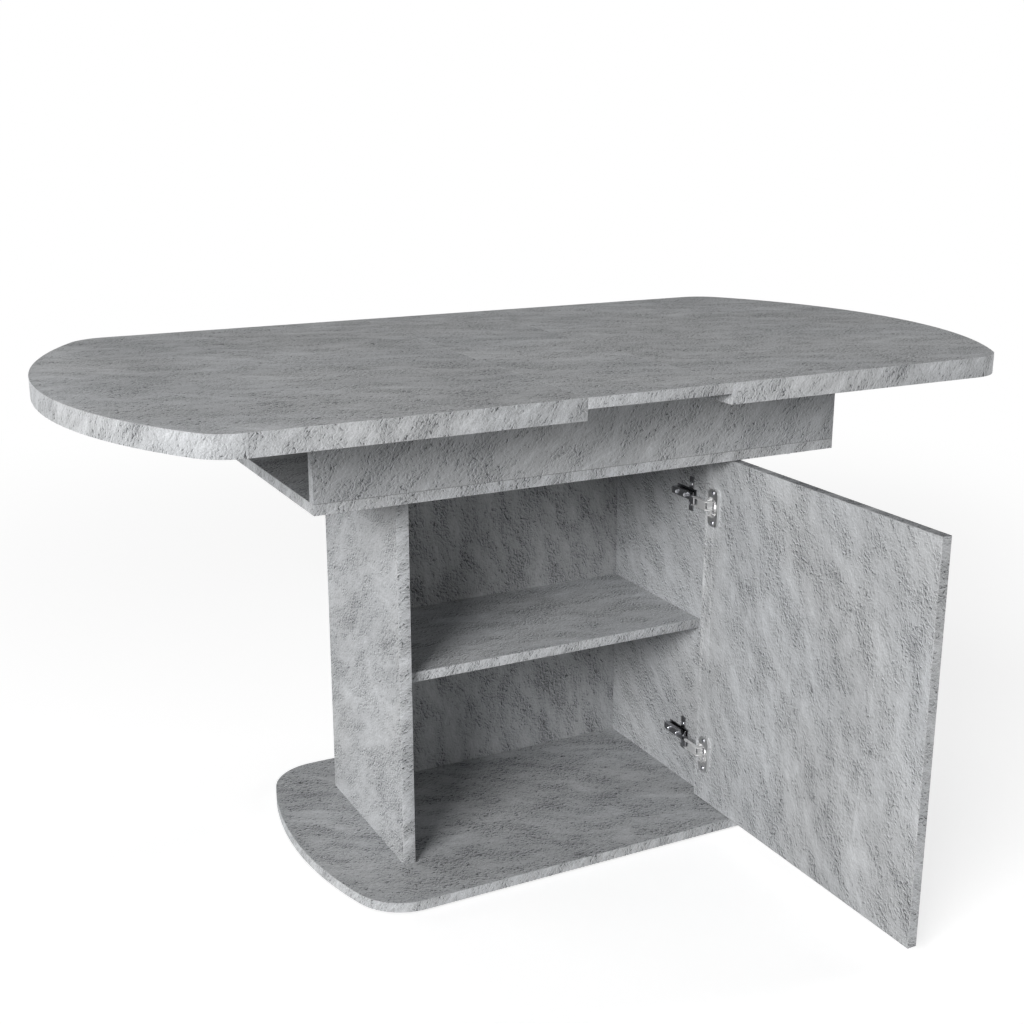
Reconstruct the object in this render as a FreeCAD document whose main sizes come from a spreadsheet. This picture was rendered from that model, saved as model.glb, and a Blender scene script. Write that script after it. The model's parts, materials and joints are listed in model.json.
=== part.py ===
import FreeCAD, Part
import math
import os
import re
import Sketcher

# Pedestal kitchen table: a barrel-shaped top in two halves with a separate leaf between them, on a shallow
# box that is open at both ends, on a one-door cabinet, on a barrel-shaped base plate.
# Frame: X along the table, -Y to the door side, Z up, origin on the floor under the middle of the base plate.
# The door is drawn closed and placed open at a right angle; the leaf is in place.

DRIVING_SIZES = [
    # alias, millimetres, meaning
    ("board", 15.0, "melamine board of everything but the cabinet sides"),
    ("side_board", 19.0, "cabinet side panels"),
    ("band", 1.0, "edge band"),
    ("top_height", 760.0, "floor to top surface"),
    ("top_width", 780.0, "across the top"),
    ("half_length", 611.0, "one half of the top, seam to the crown of its bowed end"),
    ("leaf_length", 222.0, "leaf, seam to seam"),
    ("seam_gap", 0.3, "between the leaf and each half"),
    ("top_bulge", 135.0, "how far the end of the top bows out"),
    ("top_corner", 70.0, "corner radius of the top"),
    ("doubling_width", 60.0, "strips that double the long edges"),
    ("base_length", 794.0, "base plate"),
    ("base_width", 500.0, "base plate"),
    ("base_bulge", 54.0, "how far the end of the base bows out"),
    ("base_corner", 85.0, "corner radius of the base"),
    ("glide_height", 3.0, "floor glide"),
    ("glide_diameter", 22.0, "floor glide"),
    ("glide_spread_x", 310.0, "corner glides from the middle"),
    ("glide_spread_y", 185.0, "corner glides from the middle"),
    ("cabinet_width", 552.0, "over the side panels"),
    ("cabinet_front", 145.0, "middle of the table to the cabinet's front edge"),
    ("cabinet_back", 150.0, "middle of the table to the cabinet's back"),
    ("shelf_level", 283.0, "base plate to the underside of the shelf"),
    ("shelf_play", 0.5, "shelf end to side panel"),
    ("shelf_door_gap", 3.0, "shelf front to the closed door"),
    ("pin_diameter", 5.0, "shelf pin"),
    ("pin_length", 16.0, "shelf pin, half of it in the side panel"),
    ("pin_inset", 40.0, "shelf pin from the shelf's front and back"),
    ("door_gap", 2.0, "round the inset door"),
    ("box_length", 848.0, "box under the top"),
    ("box_width", 452.0, "box under the top"),
    ("panel_height", 126.0, "long panels of the box"),
    ("cross_rail_height", 30.0, "rail between the box panels"),
    ("cross_rail_place", 200.0, "rail from the middle"),
    ("leaf_store_height", 42.0, "clear height under the cross rails"),
    ("cross_rail_housing", 5.0, "how far a cross rail is let into a box panel"),
    ("pad_thick", 1.0, "rest pad on a box panel"),
    ("pad_length", 40.0, "rest pad"),
    ("pad_place", 60.0, "rest pad from the middle"),
    ("screw_shank", 5.0, "carcass screw"),
    ("screw_head", 10.0, "carcass screw"),
    ("screw_head_height", 2.0, "carcass screw"),
    ("screw_bite", 33.0, "how far a carcass screw goes past the board it holds"),
    ("screw_inset", 36.0, "carcass screw from the front and back of the cabinet"),
    ("box_screw_inset", 80.0, "carcass screw of a box panel from the panel's end"),
    ("hole_play", 0.05, "between a screw, pin or dowel and its hole, all round"),
    ("rail_setback", 12.0, "end of the box to the guide rail"),
    ("rail_height", 40.0, "guide rail"),
    ("rail_depth", 16.0, "guide rail"),
    ("rail_wall", 2.5, "guide rail"),
    ("rail_lip", 6.0, "guide rail, wall above and below its slot"),
    ("rail_drop", 10.0, "underside of the top to the guide rail"),
    ("shoe_play", 0.3, "glide shoe in the guide rail, all round"),
    ("shoe_length", 40.0, "glide shoe"),
    ("shoe_reserve", 2.0, "outer shoe to the end of the guide rail with the half slid out"),
    ("pull_out", 30.0, "how far a half slides out from the leaf"),
    ("stop_length", 12.0, "stop in the guide rail"),
    ("stop_height", 14.0, "stop in the guide rail"),
    ("runner_wall", 3.0, "runner profile"),
    ("tongue_height", 30.0, "runner tongue in the guide rail"),
    ("tongue_place", 4.0, "rail web to the runner tongue"),
    ("runner_flange", 25.0, "runner flange under the top"),
    ("runner_gap", 2.0, "guide rail to the upright wall of the runner"),
    ("runner_setback", 20.0, "seam end of the top to the runner"),
    ("block_clearance", 5.0, "end block to the box when the halves are closed without the leaf"),
    ("cleat_height", 20.0, "cleat under the leaf"),
    ("cleat_width", 20.0, "cleat under the leaf"),
    ("cleat_place", 80.0, "cleat from the middle"),
    ("cleat_play", 0.5, "cleat end to guide rail"),
    ("hinge_inset", 83.0, "hinge from the door's top and bottom"),
    ("pivot_side", 2.2, "door axis behind the face of the side panel"),
    ("pivot_front", 3.2, "door axis in front of the cabinet's front edge"),
    ("cup_diameter", 35.0, "hinge cup"),
    ("cup_wall", 1.0, "hinge cup"),
    ("cup_depth", 11.5, "hinge cup, into the door"),
    ("cup_edge", 4.0, "door edge to hinge cup"),
    ("flange_thick", 5.0, "cup flange on the door"),
    ("flange_width", 25.0, "cup flange"),
    ("flange_height", 60.0, "cup flange"),
    ("flange_corner", 9.0, "cup flange"),
    ("cup_screw_spacing", 48.0, "cup screws"),
    ("cup_screw_offset", 6.0, "cup screws behind the middle of the cup"),
    ("cup_screw", 3.5, "cup screw"),
    ("cup_screw_head", 7.0, "cup screw"),
    ("cup_screw_bite", 11.0, "how far a cup screw goes into the door"),
    ("hinge_head_height", 1.5, "screws of the hinges"),
    ("cup_pin_side", 18.0, "link pin from the face of the side panel, door closed"),
    ("cup_pin_depth", 10.8, "link pin from the door's outer face"),
    ("hinge_pin", 3.0, "link pin and nose pin"),
    ("nose_side", 22.1, "nose pin from the face of the side panel"),
    ("nose_back", 13.6, "nose pin behind the cabinet's front edge"),
    ("nose_radius", 3.0, "rounded nose of the hinge arm"),
    ("nose_width", 11.0, "hinge arm"),
    ("arm_rise", 13.0, "face of the side panel to the back of the hinge arm"),
    ("arm_foot", 4.0, "face of the side panel to the lower edge of the hinge arm"),
    ("arm_bend", 40.0, "cabinet front edge to the bend of the hinge arm"),
    ("arm_end", 91.0, "cabinet front edge to the rear end of the hinge arm"),
    ("steel", 1.2, "sheet of the hinge arm and link"),
    ("link_half_width", 3.1, "hinge link"),
    ("link_knee_side", 22.5, "knee of the hinge link from the face of the side panel"),
    ("link_knee_front", 20.5, "knee of the hinge link in front of the cabinet"),
    ("link_web_length", 21.0, "bridge between the cheeks of the hinge link"),
    ("cheek_play", 0.3, "link cheek to hinge arm"),
    ("plate_thick", 2.0, "mounting plate"),
    ("plate_line", 37.0, "door's inner face to the plate screws"),
    ("plate_screw_spacing", 32.0, "plate screws"),
    ("plate_wing", 28.0, "half height over the wings of the mounting plate"),
    ("wing_width", 11.0, "wing of the mounting plate"),
    ("plate_front", 38.0, "cabinet front edge to the mounting plate"),
    ("plate_width", 18.0, "mounting plate between its wings"),
    ("saddle_play", 0.2, "saddle of the mounting plate to the cheeks of the arm"),
    ("plate_screw", 5.0, "plate screw"),
    ("plate_screw_head", 8.0, "plate screw"),
    ("plate_screw_bite", 12.0, "how far a plate screw goes into the side panel"),
    ("adjust_screw", 4.0, "adjusting screw of the hinge"),
    ("adjust_head", 7.5, "adjusting screw of the hinge"),
    ("adjust_front", 55.0, "cabinet front edge to the front adjusting screw"),
    ("adjust_back", 78.0, "cabinet front edge to the rear adjusting screw"),
]

document = FreeCAD.newDocument("kitchen_table")
sizes = document.addObject("Spreadsheet::Sheet", "sizes")
for row, (alias, millimetres, meaning) in enumerate(DRIVING_SIZES, start=1):
    sizes.set(f"A{row}", alias)
    sizes.set(f"B{row}", str(millimetres))
    sizes.set(f"C{row}", meaning)
    sizes.setAlias(f"B{row}", alias)
document.recompute()
ALIASES = {alias for alias, _, _ in DRIVING_SIZES}
PARTS = []


# ---------------------------------------------------------------- levels and places worked out from the sizes
def formula(text):
    """Write out the derived names of a formula, then point its sizes at the sheet."""
    text = str(text)
    while any(re.search(rf"\b{name}\b", text) for name in DERIVED):
        for name, meaning in DERIVED.items():
            text = re.sub(rf"\b{name}\b", f"({meaning})", text)
    return re.sub(r"[a-z_]+[a-z0-9_]*", lambda m: "sizes." + m[0] if m[0] in ALIASES else m[0], text)


def value(text):
    return float(sizes.evalExpression(formula(text)))


DERIVED = {
    # levels
    "base_top": "glide_height + board",
    "cabinet_height": "top_height - board - pad_thick - panel_height - board - base_top",
    "cabinet_top": "base_top + cabinet_height",
    "box_floor_top": "cabinet_top + board",
    "under_top": "top_height - board",
    "shelf_under": "base_top + shelf_level",
    "rail_top": "under_top - rail_drop",
    "rail_middle": "rail_top - rail_height / 2",
    # lengths
    "inner_half": "cabinet_width / 2 - side_board",
    "seam_end": "leaf_length / 2 + seam_gap",
    "top_end": "seam_end + half_length",
    "end_block_start": "box_length / 2 + seam_end + block_clearance",
    "rail_length": "box_length - 2 * rail_setback",
    "outer_shoe_start": "rail_length / 2 - pull_out - shoe_reserve - shoe_length",
    "runner_start": "seam_end + runner_setback",
    "runner_end": "end_block_start - block_clearance",
    "shelf_front": "cabinet_front - board - shelf_door_gap",
    "back_panel_front": "cabinet_back - board",
    "box_inner": "box_width / 2 - board",
    # door, drawn closed
    "door_half": "inner_half - door_gap",
    "door_bottom": "base_top + door_gap",
    "door_height": "cabinet_height - 2 * door_gap",
    "door_inner_face": "board - cabinet_front",
    "pivot_x": "inner_half + pivot_side",
    "pivot_y": "-cabinet_front - pivot_front",
    "lower_hinge": "door_bottom + hinge_inset",
    "upper_hinge": "door_bottom + door_height - hinge_inset",
    "cup_x": "door_half - cup_edge - cup_diameter / 2",
    "cup_screw_x": "cup_x - cup_screw_offset",
    "cup_pin_x": "inner_half - cup_pin_side",
    "cup_pin_y": "cup_pin_depth - cabinet_front",
    # hinge on the side panel
    "nose_x": "inner_half - nose_side",
    "nose_y": "nose_back - cabinet_front",
    "plate_line_y": "door_inner_face + plate_line",
    "saddle_half": "nose_width / 2 - steel - saddle_play",
}


# ---------------------------------------------------------------- drawing helpers
def new_body(label, several=False):
    body = document.addObject("PartDesign::Body", label)
    body.Label = label
    body.AllowCompound = several
    PARTS.append(body)
    return body


def place(body, x="0", y="0", z="0", turn=0.0):
    body.Placement = FreeCAD.Placement(FreeCAD.Vector(), FreeCAD.Rotation(FreeCAD.Vector(0, 0, 1), turn))
    for axis, text in zip("xyz", (x, y, z)):
        body.setExpression(f"Placement.Base.{axis}", formula(text))


def place_open(body, z="0"):
    """Turn a piece drawn on the closed door to its open place, a right angle about the door's axis."""
    place(body, "pivot_x + pivot_y", "pivot_y - pivot_x", z, 90.0)


def new_sketch(body, plane, level="0"):
    """A sketch on an origin plane of its body, moved along the plane's axis to a level."""
    sketch = body.newObject("Sketcher::SketchObject", f"{body.Name}_sketch")
    support = next(f for f in body.Origin.OriginFeatures if f.Role == f"{plane}_Plane")
    sketch.AttachmentSupport = [(support, "")]
    sketch.MapMode = "FlatFace"
    along = f"-({level})" if plane == "XZ" else level
    sketch.setExpression("AttachmentOffset.Base.z", formula(along))
    return sketch


def fix(sketch, geometry, point, x, y):
    for kind, text in (("DistanceX", x), ("DistanceY", y)):
        index = sketch.addConstraint(Sketcher.Constraint(kind, -1, 1, geometry, point, value(text)))
        sketch.setExpression(f"Constraints[{index}]", formula(text))


def radius(sketch, geometry, text):
    index = sketch.addConstraint(Sketcher.Constraint("Radius", geometry, value(text)))
    sketch.setExpression(f"Constraints[{index}]", formula(text))


def vector(x, y):
    return FreeCAD.Vector(value(x), value(y), 0)


def polygon(sketch, corners):
    first = sketch.GeometryCount
    count = len(corners)
    for i in range(count):
        start, end = corners[i], corners[(i + 1) % count]
        sketch.addGeometry(Part.LineSegment(vector(*start), vector(*end)))
    for i in range(count):
        follower = first + (i + 1) % count
        sketch.addConstraint(Sketcher.Constraint("Coincident", first + i, 2, follower, 1))
        fix(sketch, first + i, 1, *corners[i])


def rectangle(sketch, x0, y0, x1, y1):
    polygon(sketch, [(x0, y0), (x1, y0), (x1, y1), (x0, y1)])


def circles(sketch, centres, diameter):
    for x, y in centres:
        circle = Part.Circle(vector(x, y), FreeCAD.Vector(0, 0, 1), value(f"({diameter}) / 2"))
        index = sketch.addGeometry(circle)
        fix(sketch, index, 3, x, y)
        radius(sketch, index, f"({diameter}) / 2")


def extrude(kind, body, sketch, length, direction, middle=False):
    """Pad or pocket along the positive or negative axis of the sketch's plane."""
    plane_faces_back = sketch.AttachmentSupport[0][0].Role == "XZ_Plane"
    feature = body.newObject(f"PartDesign::{kind}", f"{body.Name}_{kind.lower()}")
    feature.Profile = sketch
    feature.setExpression("Length", formula(length))
    with_normal = (direction > 0) != plane_faces_back
    feature.Reversed = with_normal if kind == "Pocket" else not with_normal
    feature.Midplane = middle
    before = body.Shape.Volume if kind == "Pocket" else None
    document.recompute()
    if before is not None and not feature.Shape.Volume < before:
        raise RuntimeError(f"a pocket of {body.Label} cuts nothing")
    sketch.Visibility = False
    return feature


def pad(body, sketch, length, direction=1, middle=False):
    return extrude("Pad", body, sketch, length, direction, middle)


def pocket(body, sketch, length, direction=1, middle=False):
    return extrude("Pocket", body, sketch, length, direction, middle)


def fillet(body, edges, text):
    base = body.Tip
    feature = body.newObject("PartDesign::Fillet", f"{body.Name}_fillet")
    feature.Base = (base, edges)
    feature.setExpression("Radius", formula(text))
    document.recompute()
    return feature


def edges_where(body, test):
    return [f"Edge{i}" for i, edge in enumerate(body.Tip.Shape.Edges, start=1) if test(edge)]


def drill(body, plane, level, centres, diameter, depth, direction):
    sketch = new_sketch(body, plane, level)
    circles(sketch, centres, f"{diameter} + 2 * hole_play")
    return pocket(body, sketch, depth, direction)


def screws(body, plane, level, centres, head, head_height, shank, length, direction):
    """Headed screws: heads from the level onwards, shanks to their full length."""
    heads = new_sketch(body, plane, level)
    circles(heads, centres, head)
    pad(body, heads, head_height, direction)
    shanks = new_sketch(body, plane, level)
    circles(shanks, centres, shank)
    pad(body, shanks, length, direction)


def mirrored(texts):
    return [f"-({text})" for text in texts] + list(texts)


def barrel(sketch, end, half_width, bulge, corner, inset, start=None):
    """Barrel outline: straight long sides, bowed ends, round corners. With a start, one end cut there."""
    bow = f"((({half_width})^2 + ({bulge})^2) / (2 * ({bulge})))"
    centre = f"(({end}) - {bow})"
    corner_y = f"(({half_width}) - ({corner}))"
    corner_x = f"({centre} + sqrt(({bow} - ({corner}))^2 - {corner_y}^2))"
    side = value(f"({half_width}) - ({inset})")
    small = value(f"({corner}) - ({inset})")
    large = value(f"{bow} - ({inset})")
    centre_x, turn_x, turn_y = value(centre), value(corner_x), value(corner_y)
    lean = math.atan2(turn_y, turn_x - centre_x)
    up = FreeCAD.Vector(0, 0, 1)
    ends = [1] if start is not None else [1, -1]
    chains = []
    for sign in ends:
        tilt = 0 if sign > 0 else math.pi
        lower = Part.Circle(FreeCAD.Vector(sign * turn_x, -sign * turn_y, 0), up, small)
        bowed = Part.Circle(FreeCAD.Vector(sign * centre_x, 0, 0), up, large)
        upper = Part.Circle(FreeCAD.Vector(sign * turn_x, sign * turn_y, 0), up, small)
        arcs = [
            Part.ArcOfCircle(lower, tilt - math.pi / 2, tilt - lean),
            Part.ArcOfCircle(bowed, tilt - lean, tilt + lean),
            Part.ArcOfCircle(upper, tilt + lean, tilt + math.pi / 2),
        ]
        chain = [sketch.addGeometry(arc) for arc in arcs]
        for first, second in zip(chain, chain[1:]):
            sketch.addConstraint(Sketcher.Constraint("Tangent", first, 2, second, 1))
        radius(sketch, chain[0], f"({corner}) - ({inset})")
        radius(sketch, chain[2], f"({corner}) - ({inset})")
        radius(sketch, chain[1], f"{bow} - ({inset})")
        fix(sketch, chain[1], 3, f"{sign} * {centre}", "0")
        chains.append(chain)
    if start is None:
        joints = [(chains[0][2], chains[1][0], side), (chains[1][2], chains[0][0], -side)]
        for before, after, y in joints:
            x = math.copysign(turn_x, y)
            line = sketch.addGeometry(Part.LineSegment(FreeCAD.Vector(x, y, 0), FreeCAD.Vector(-x, y, 0)))
            sketch.addConstraint(Sketcher.Constraint("Tangent", before, 2, line, 1))
            sketch.addConstraint(Sketcher.Constraint("Tangent", line, 2, after, 1))
        for chain in chains:
            sign = 1 if chain is chains[0] else -1
            for arc, way in ((chain[0], -sign), (chain[2], sign)):
                index = sketch.addConstraint(Sketcher.Constraint("DistanceY", -1, 1, arc, 3, way * turn_y))
                sketch.setExpression(f"Constraints[{index}]", formula(f"{way} * {corner_y}"))
        return
    seam = value(start)
    chain = chains[0]
    turns = ((turn_x, side), (seam, side), (seam, -side), (turn_x, -side))
    corners = [FreeCAD.Vector(x, y, 0) for x, y in turns]
    lines = [Part.LineSegment(*pair) for pair in zip(corners, corners[1:])]
    back, cut, front = [sketch.addGeometry(line) for line in lines]
    sketch.addConstraint(Sketcher.Constraint("Tangent", chain[2], 2, back, 1))
    sketch.addConstraint(Sketcher.Constraint("Coincident", back, 2, cut, 1))
    sketch.addConstraint(Sketcher.Constraint("Coincident", cut, 2, front, 1))
    sketch.addConstraint(Sketcher.Constraint("Tangent", front, 2, chain[0], 1))
    sketch.addConstraint(Sketcher.Constraint("Horizontal", back))
    sketch.addConstraint(Sketcher.Constraint("Horizontal", front))
    fix(sketch, cut, 1, start, f"({half_width}) - ({inset})")
    fix(sketch, cut, 2, start, f"({inset}) - ({half_width})")


# ---------------------------------------------------------------- base plate
def base_outline(body, inset, level="0"):
    sketch = new_sketch(body, "XY", level)
    barrel(sketch, "base_length / 2", "base_width / 2", "base_bulge", "base_corner", inset)
    return sketch


SIDE_SCREW_Y = ["screw_inset - cabinet_front", "cabinet_back - screw_inset"]
CARCASS_SCREWS = [(x, y) for x in mirrored(["cabinet_width / 2 - side_board / 2"]) for y in SIDE_SCREW_Y]
BOX_SCREW_X = mirrored(["box_length / 2 - box_screw_inset"])
BOX_SCREWS = [(x, y) for x in BOX_SCREW_X for y in mirrored(["box_width / 2 - board / 2"])]

base_plate = new_body("base_plate")
pad(base_plate, base_outline(base_plate, "band"), "board")
drill(base_plate, "XY", "0", CARCASS_SCREWS, "screw_shank", "board", 1)
place(base_plate, z="glide_height")

base_band = new_body("base_edge_band")
pad(base_band, base_outline(base_band, "0"), "board")
pocket(base_band, base_outline(base_band, "band"), "board")
place(base_band, z="glide_height")

glides = new_body("floor_glides", several=True)
glide_places = [(x, y) for x in mirrored(["glide_spread_x"]) for y in mirrored(["glide_spread_y"])]
glide_sketch = new_sketch(glides, "XY")
circles(glide_sketch, glide_places + [("0", "0")], "glide_diameter")
pad(glides, glide_sketch, "glide_height")


# ---------------------------------------------------------------- cabinet
def shelf_pin_places():
    return [("pin_inset - shelf_front", "shelf_level - pin_diameter / 2"),
            ("back_panel_front - pin_inset", "shelf_level - pin_diameter / 2")]


def side_panel(label, sign):
    """Side panel with its screw pilots, shelf pin holes and, on the hinge side, the plate screw holes."""
    body = new_body(label)
    outline = new_sketch(body, "YZ")
    rectangle(outline, "band - cabinet_front", "0", "cabinet_back", "cabinet_height")
    pad(body, outline, "side_board", sign)
    pilots = [(f"{sign} * side_board / 2", y) for y in SIDE_SCREW_Y]
    drill(body, "XY", "0", pilots, "screw_shank", "screw_bite", 1)
    drill(body, "XY", "cabinet_height", pilots, "screw_shank", "screw_bite", -1)
    drill(body, "YZ", "0", shelf_pin_places(), "pin_diameter", "pin_length / 2", sign)
    if sign > 0:
        holes = [(y, f"{hinge} - base_top") for y, hinge in PLATE_SCREWS]
        drill(body, "YZ", "0", holes, "plate_screw", "plate_screw_bite", sign)
    place(body, f"{sign} * inner_half", z="base_top")


PLATE_SCREWS = [
    ("plate_line_y", f"{hinge} {way} plate_screw_spacing / 2")
    for hinge in ("lower_hinge", "upper_hinge")
    for way in "-+"
]
side_panel("left_side_panel", -1)
side_panel("right_side_panel", 1)

back_panel = new_body("back_panel")
back_outline = new_sketch(back_panel, "XZ")
rectangle(back_outline, "-inner_half", "0", "inner_half", "cabinet_height")
pad(back_panel, back_outline, "board", 1)
place(back_panel, y="back_panel_front", z="base_top")

shelf = new_body("shelf")
shelf_outline = new_sketch(shelf, "XY")
rectangle(shelf_outline, "shelf_play - inner_half", "band - shelf_front",
          "inner_half - shelf_play", "back_panel_front")
pad(shelf, shelf_outline, "board")
place(shelf, z="shelf_under")

shelf_pins = new_body("shelf_pins", several=True)
for sign in (-1, 1):
    pin_sketch = new_sketch(shelf_pins, "YZ", f"{sign} * (inner_half + pin_length / 2)")
    circles(pin_sketch, shelf_pin_places(), "pin_diameter")
    pad(shelf_pins, pin_sketch, "pin_length", -sign)
place(shelf_pins, z="base_top")

cabinet_bands = new_body("cabinet_edge_bands", several=True)
for sign in (-1, 1):
    band_sketch = new_sketch(cabinet_bands, "XY", "base_top")
    rectangle(band_sketch, f"{sign} * inner_half", "-cabinet_front",
              f"{sign} * (inner_half + side_board)", "band - cabinet_front")
    pad(cabinet_bands, band_sketch, "cabinet_height")
shelf_band_sketch = new_sketch(cabinet_bands, "XY", "shelf_under")
rectangle(shelf_band_sketch, "shelf_play - inner_half", "-shelf_front",
          "inner_half - shelf_play", "band - shelf_front")
pad(cabinet_bands, shelf_band_sketch, "board")

carcass_screws = new_body("carcass_screws", several=True)
SCREW = ("screw_head", "screw_head_height", "screw_shank", "screw_head_height + board + screw_bite")
screws(carcass_screws, "XY", "glide_height - screw_head_height", CARCASS_SCREWS, *SCREW, 1)
screws(carcass_screws, "XY", "box_floor_top + screw_head_height", CARCASS_SCREWS, *SCREW, -1)
screws(carcass_screws, "XY", "cabinet_top - screw_head_height", BOX_SCREWS, *SCREW, 1)


# ---------------------------------------------------------------- door, drawn closed
door = new_body("door_panel")
door_outline = new_sketch(door, "XZ", "-cabinet_front")
rectangle(door_outline, "band - door_half", "band", "door_half - band", "door_height - band")
pad(door, door_outline, "board", 1)
HINGES_ON_DOOR = ["hinge_inset", "door_height - hinge_inset"]
drill(door, "XZ", "door_inner_face", [("cup_x", z) for z in HINGES_ON_DOOR], "cup_diameter", "cup_depth", -1)
cup_screw_holes = [
    ("cup_screw_x", f"{z} {way} cup_screw_spacing / 2")
    for z in HINGES_ON_DOOR
    for way in "-+"
]
drill(door, "XZ", "door_inner_face", cup_screw_holes, "cup_screw", "cup_screw_bite", -1)
place_open(door, "door_bottom")

door_band = new_body("door_edge_band")
ring = new_sketch(door_band, "XZ", "-cabinet_front")
rectangle(ring, "-door_half", "0", "door_half", "door_height")
rectangle(ring, "band - door_half", "band", "door_half - band", "door_height - band")
pad(door_band, ring, "board", 1)
place_open(door_band, "door_bottom")


# ---------------------------------------------------------------- concealed hinges
def through_flange(edge):
    """True for a straight edge from the front to the back of the flange."""
    return round(abs(edge.tangentAt(edge.FirstParameter).y)) == 1


def hinge_cup(label, level):
    """Cup let into the door, with a raised oblong flange that carries the two cup screws."""
    body = new_body(label)
    flange = new_sketch(body, "XZ", "door_inner_face")
    rectangle(flange, "cup_screw_x - flange_width / 2", "-flange_height / 2",
              "cup_screw_x + flange_width / 2", "flange_height / 2")
    pad(body, flange, "flange_thick", 1)
    fillet(body, edges_where(body, through_flange), "flange_corner")
    cup = new_sketch(body, "XZ", "door_inner_face")
    circles(cup, [("cup_x", "0")], "cup_diameter")
    pad(body, cup, "cup_depth", -1)
    hollow = new_sketch(body, "XZ", "door_inner_face + flange_thick")
    circles(hollow, [("cup_x", "0")], "cup_diameter - 2 * cup_wall")
    pocket(body, hollow, "flange_thick + cup_depth - cup_wall", -1)
    holes = [("cup_screw_x", f"{way} * cup_screw_spacing / 2") for way in (-1, 1)]
    drill(body, "XZ", "door_inner_face + flange_thick", holes, "cup_screw", "flange_thick", -1)
    place_open(body, level)


ADJUST_PLACES = ["adjust_front", "adjust_back"]


def hinge_arm(label, level):
    """Cranked channel arm: back on the saddle of the plate, rounded nose with its pin."""
    body = new_body(label)
    side = new_sketch(body, "XY")
    nose_low, nose_high = "nose_side - nose_radius", "nose_side + nose_radius"
    inside_nose = "nose_back + nose_radius"
    tip = "nose_back - nose_radius"
    profile = [
        (nose_low, "nose_back - nose_radius / 2"), ("nose_side - nose_radius / 2", tip),
        ("nose_side + nose_radius / 2", tip), (nose_high, "nose_back - nose_radius / 2"),
        (nose_high, f"{inside_nose} + nose_radius"), ("arm_rise", "arm_bend"), ("arm_rise", "arm_end"),
        ("arm_foot", "arm_end"), ("arm_foot", "arm_bend + arm_foot"),
        (nose_low, f"{inside_nose} + 2 * nose_radius"),
    ]
    polygon(side, [(f"-({away})", along) for away, along in profile])
    pad(body, side, "nose_width", 1, middle=True)
    hollow = new_sketch(body, "XY")
    channel = [
        (f"{nose_low} - steel", inside_nose), (f"{nose_high} - steel", f"{inside_nose} + nose_radius"),
        ("arm_rise - steel", "arm_bend"), ("arm_rise - steel", "arm_end + steel"),
        ("arm_foot - steel", "arm_end + steel"), ("arm_foot - steel", "arm_bend"),
    ]
    polygon(hollow, [(f"-({away})", along) for away, along in channel])
    pocket(body, hollow, "nose_width - 2 * steel", 1, middle=True)
    drill(body, "XY", "nose_width / 2", [("-nose_side", "nose_back")], "hinge_pin", "nose_width", -1)
    drill(body, "YZ", "-arm_rise", [(y, "0") for y in ADJUST_PLACES], "adjust_screw", "steel", 1)
    place(body, "inner_half", "-cabinet_front", level)


def mounting_plate(label, level):
    """Plate on the side panel: two wings with the plate screws, and a raised saddle inside the arm."""
    body = new_body(label)
    cross = new_sketch(body, "YZ")
    line, wing, half = "board + plate_line", "wing_width / 2", "plate_width / 2"
    outline = [
        ("plate_front", f"-{half}"), (f"{line} - {wing}", f"-{half}"), (f"{line} - {wing}", "-plate_wing"),
        (f"{line} + {wing}", "-plate_wing"), (f"{line} + {wing}", f"-{half}"), ("arm_end", f"-{half}"),
        ("arm_end", half), (f"{line} + {wing}", half), (f"{line} + {wing}", "plate_wing"),
        (f"{line} - {wing}", "plate_wing"), (f"{line} - {wing}", half), ("plate_front", half),
    ]
    polygon(cross, outline)
    pad(body, cross, "plate_thick", -1)
    saddle = new_sketch(body, "YZ")
    rectangle(saddle, "arm_bend + arm_foot", "-saddle_half", "arm_end - steel", "saddle_half")
    pad(body, saddle, "arm_rise - steel", -1)
    wing_holes = [(line, f"{way} * plate_screw_spacing / 2") for way in (-1, 1)]
    drill(body, "YZ", "-plate_thick", wing_holes, "plate_screw", "plate_thick", 1)
    place(body, "inner_half", "-cabinet_front", level)


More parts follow.
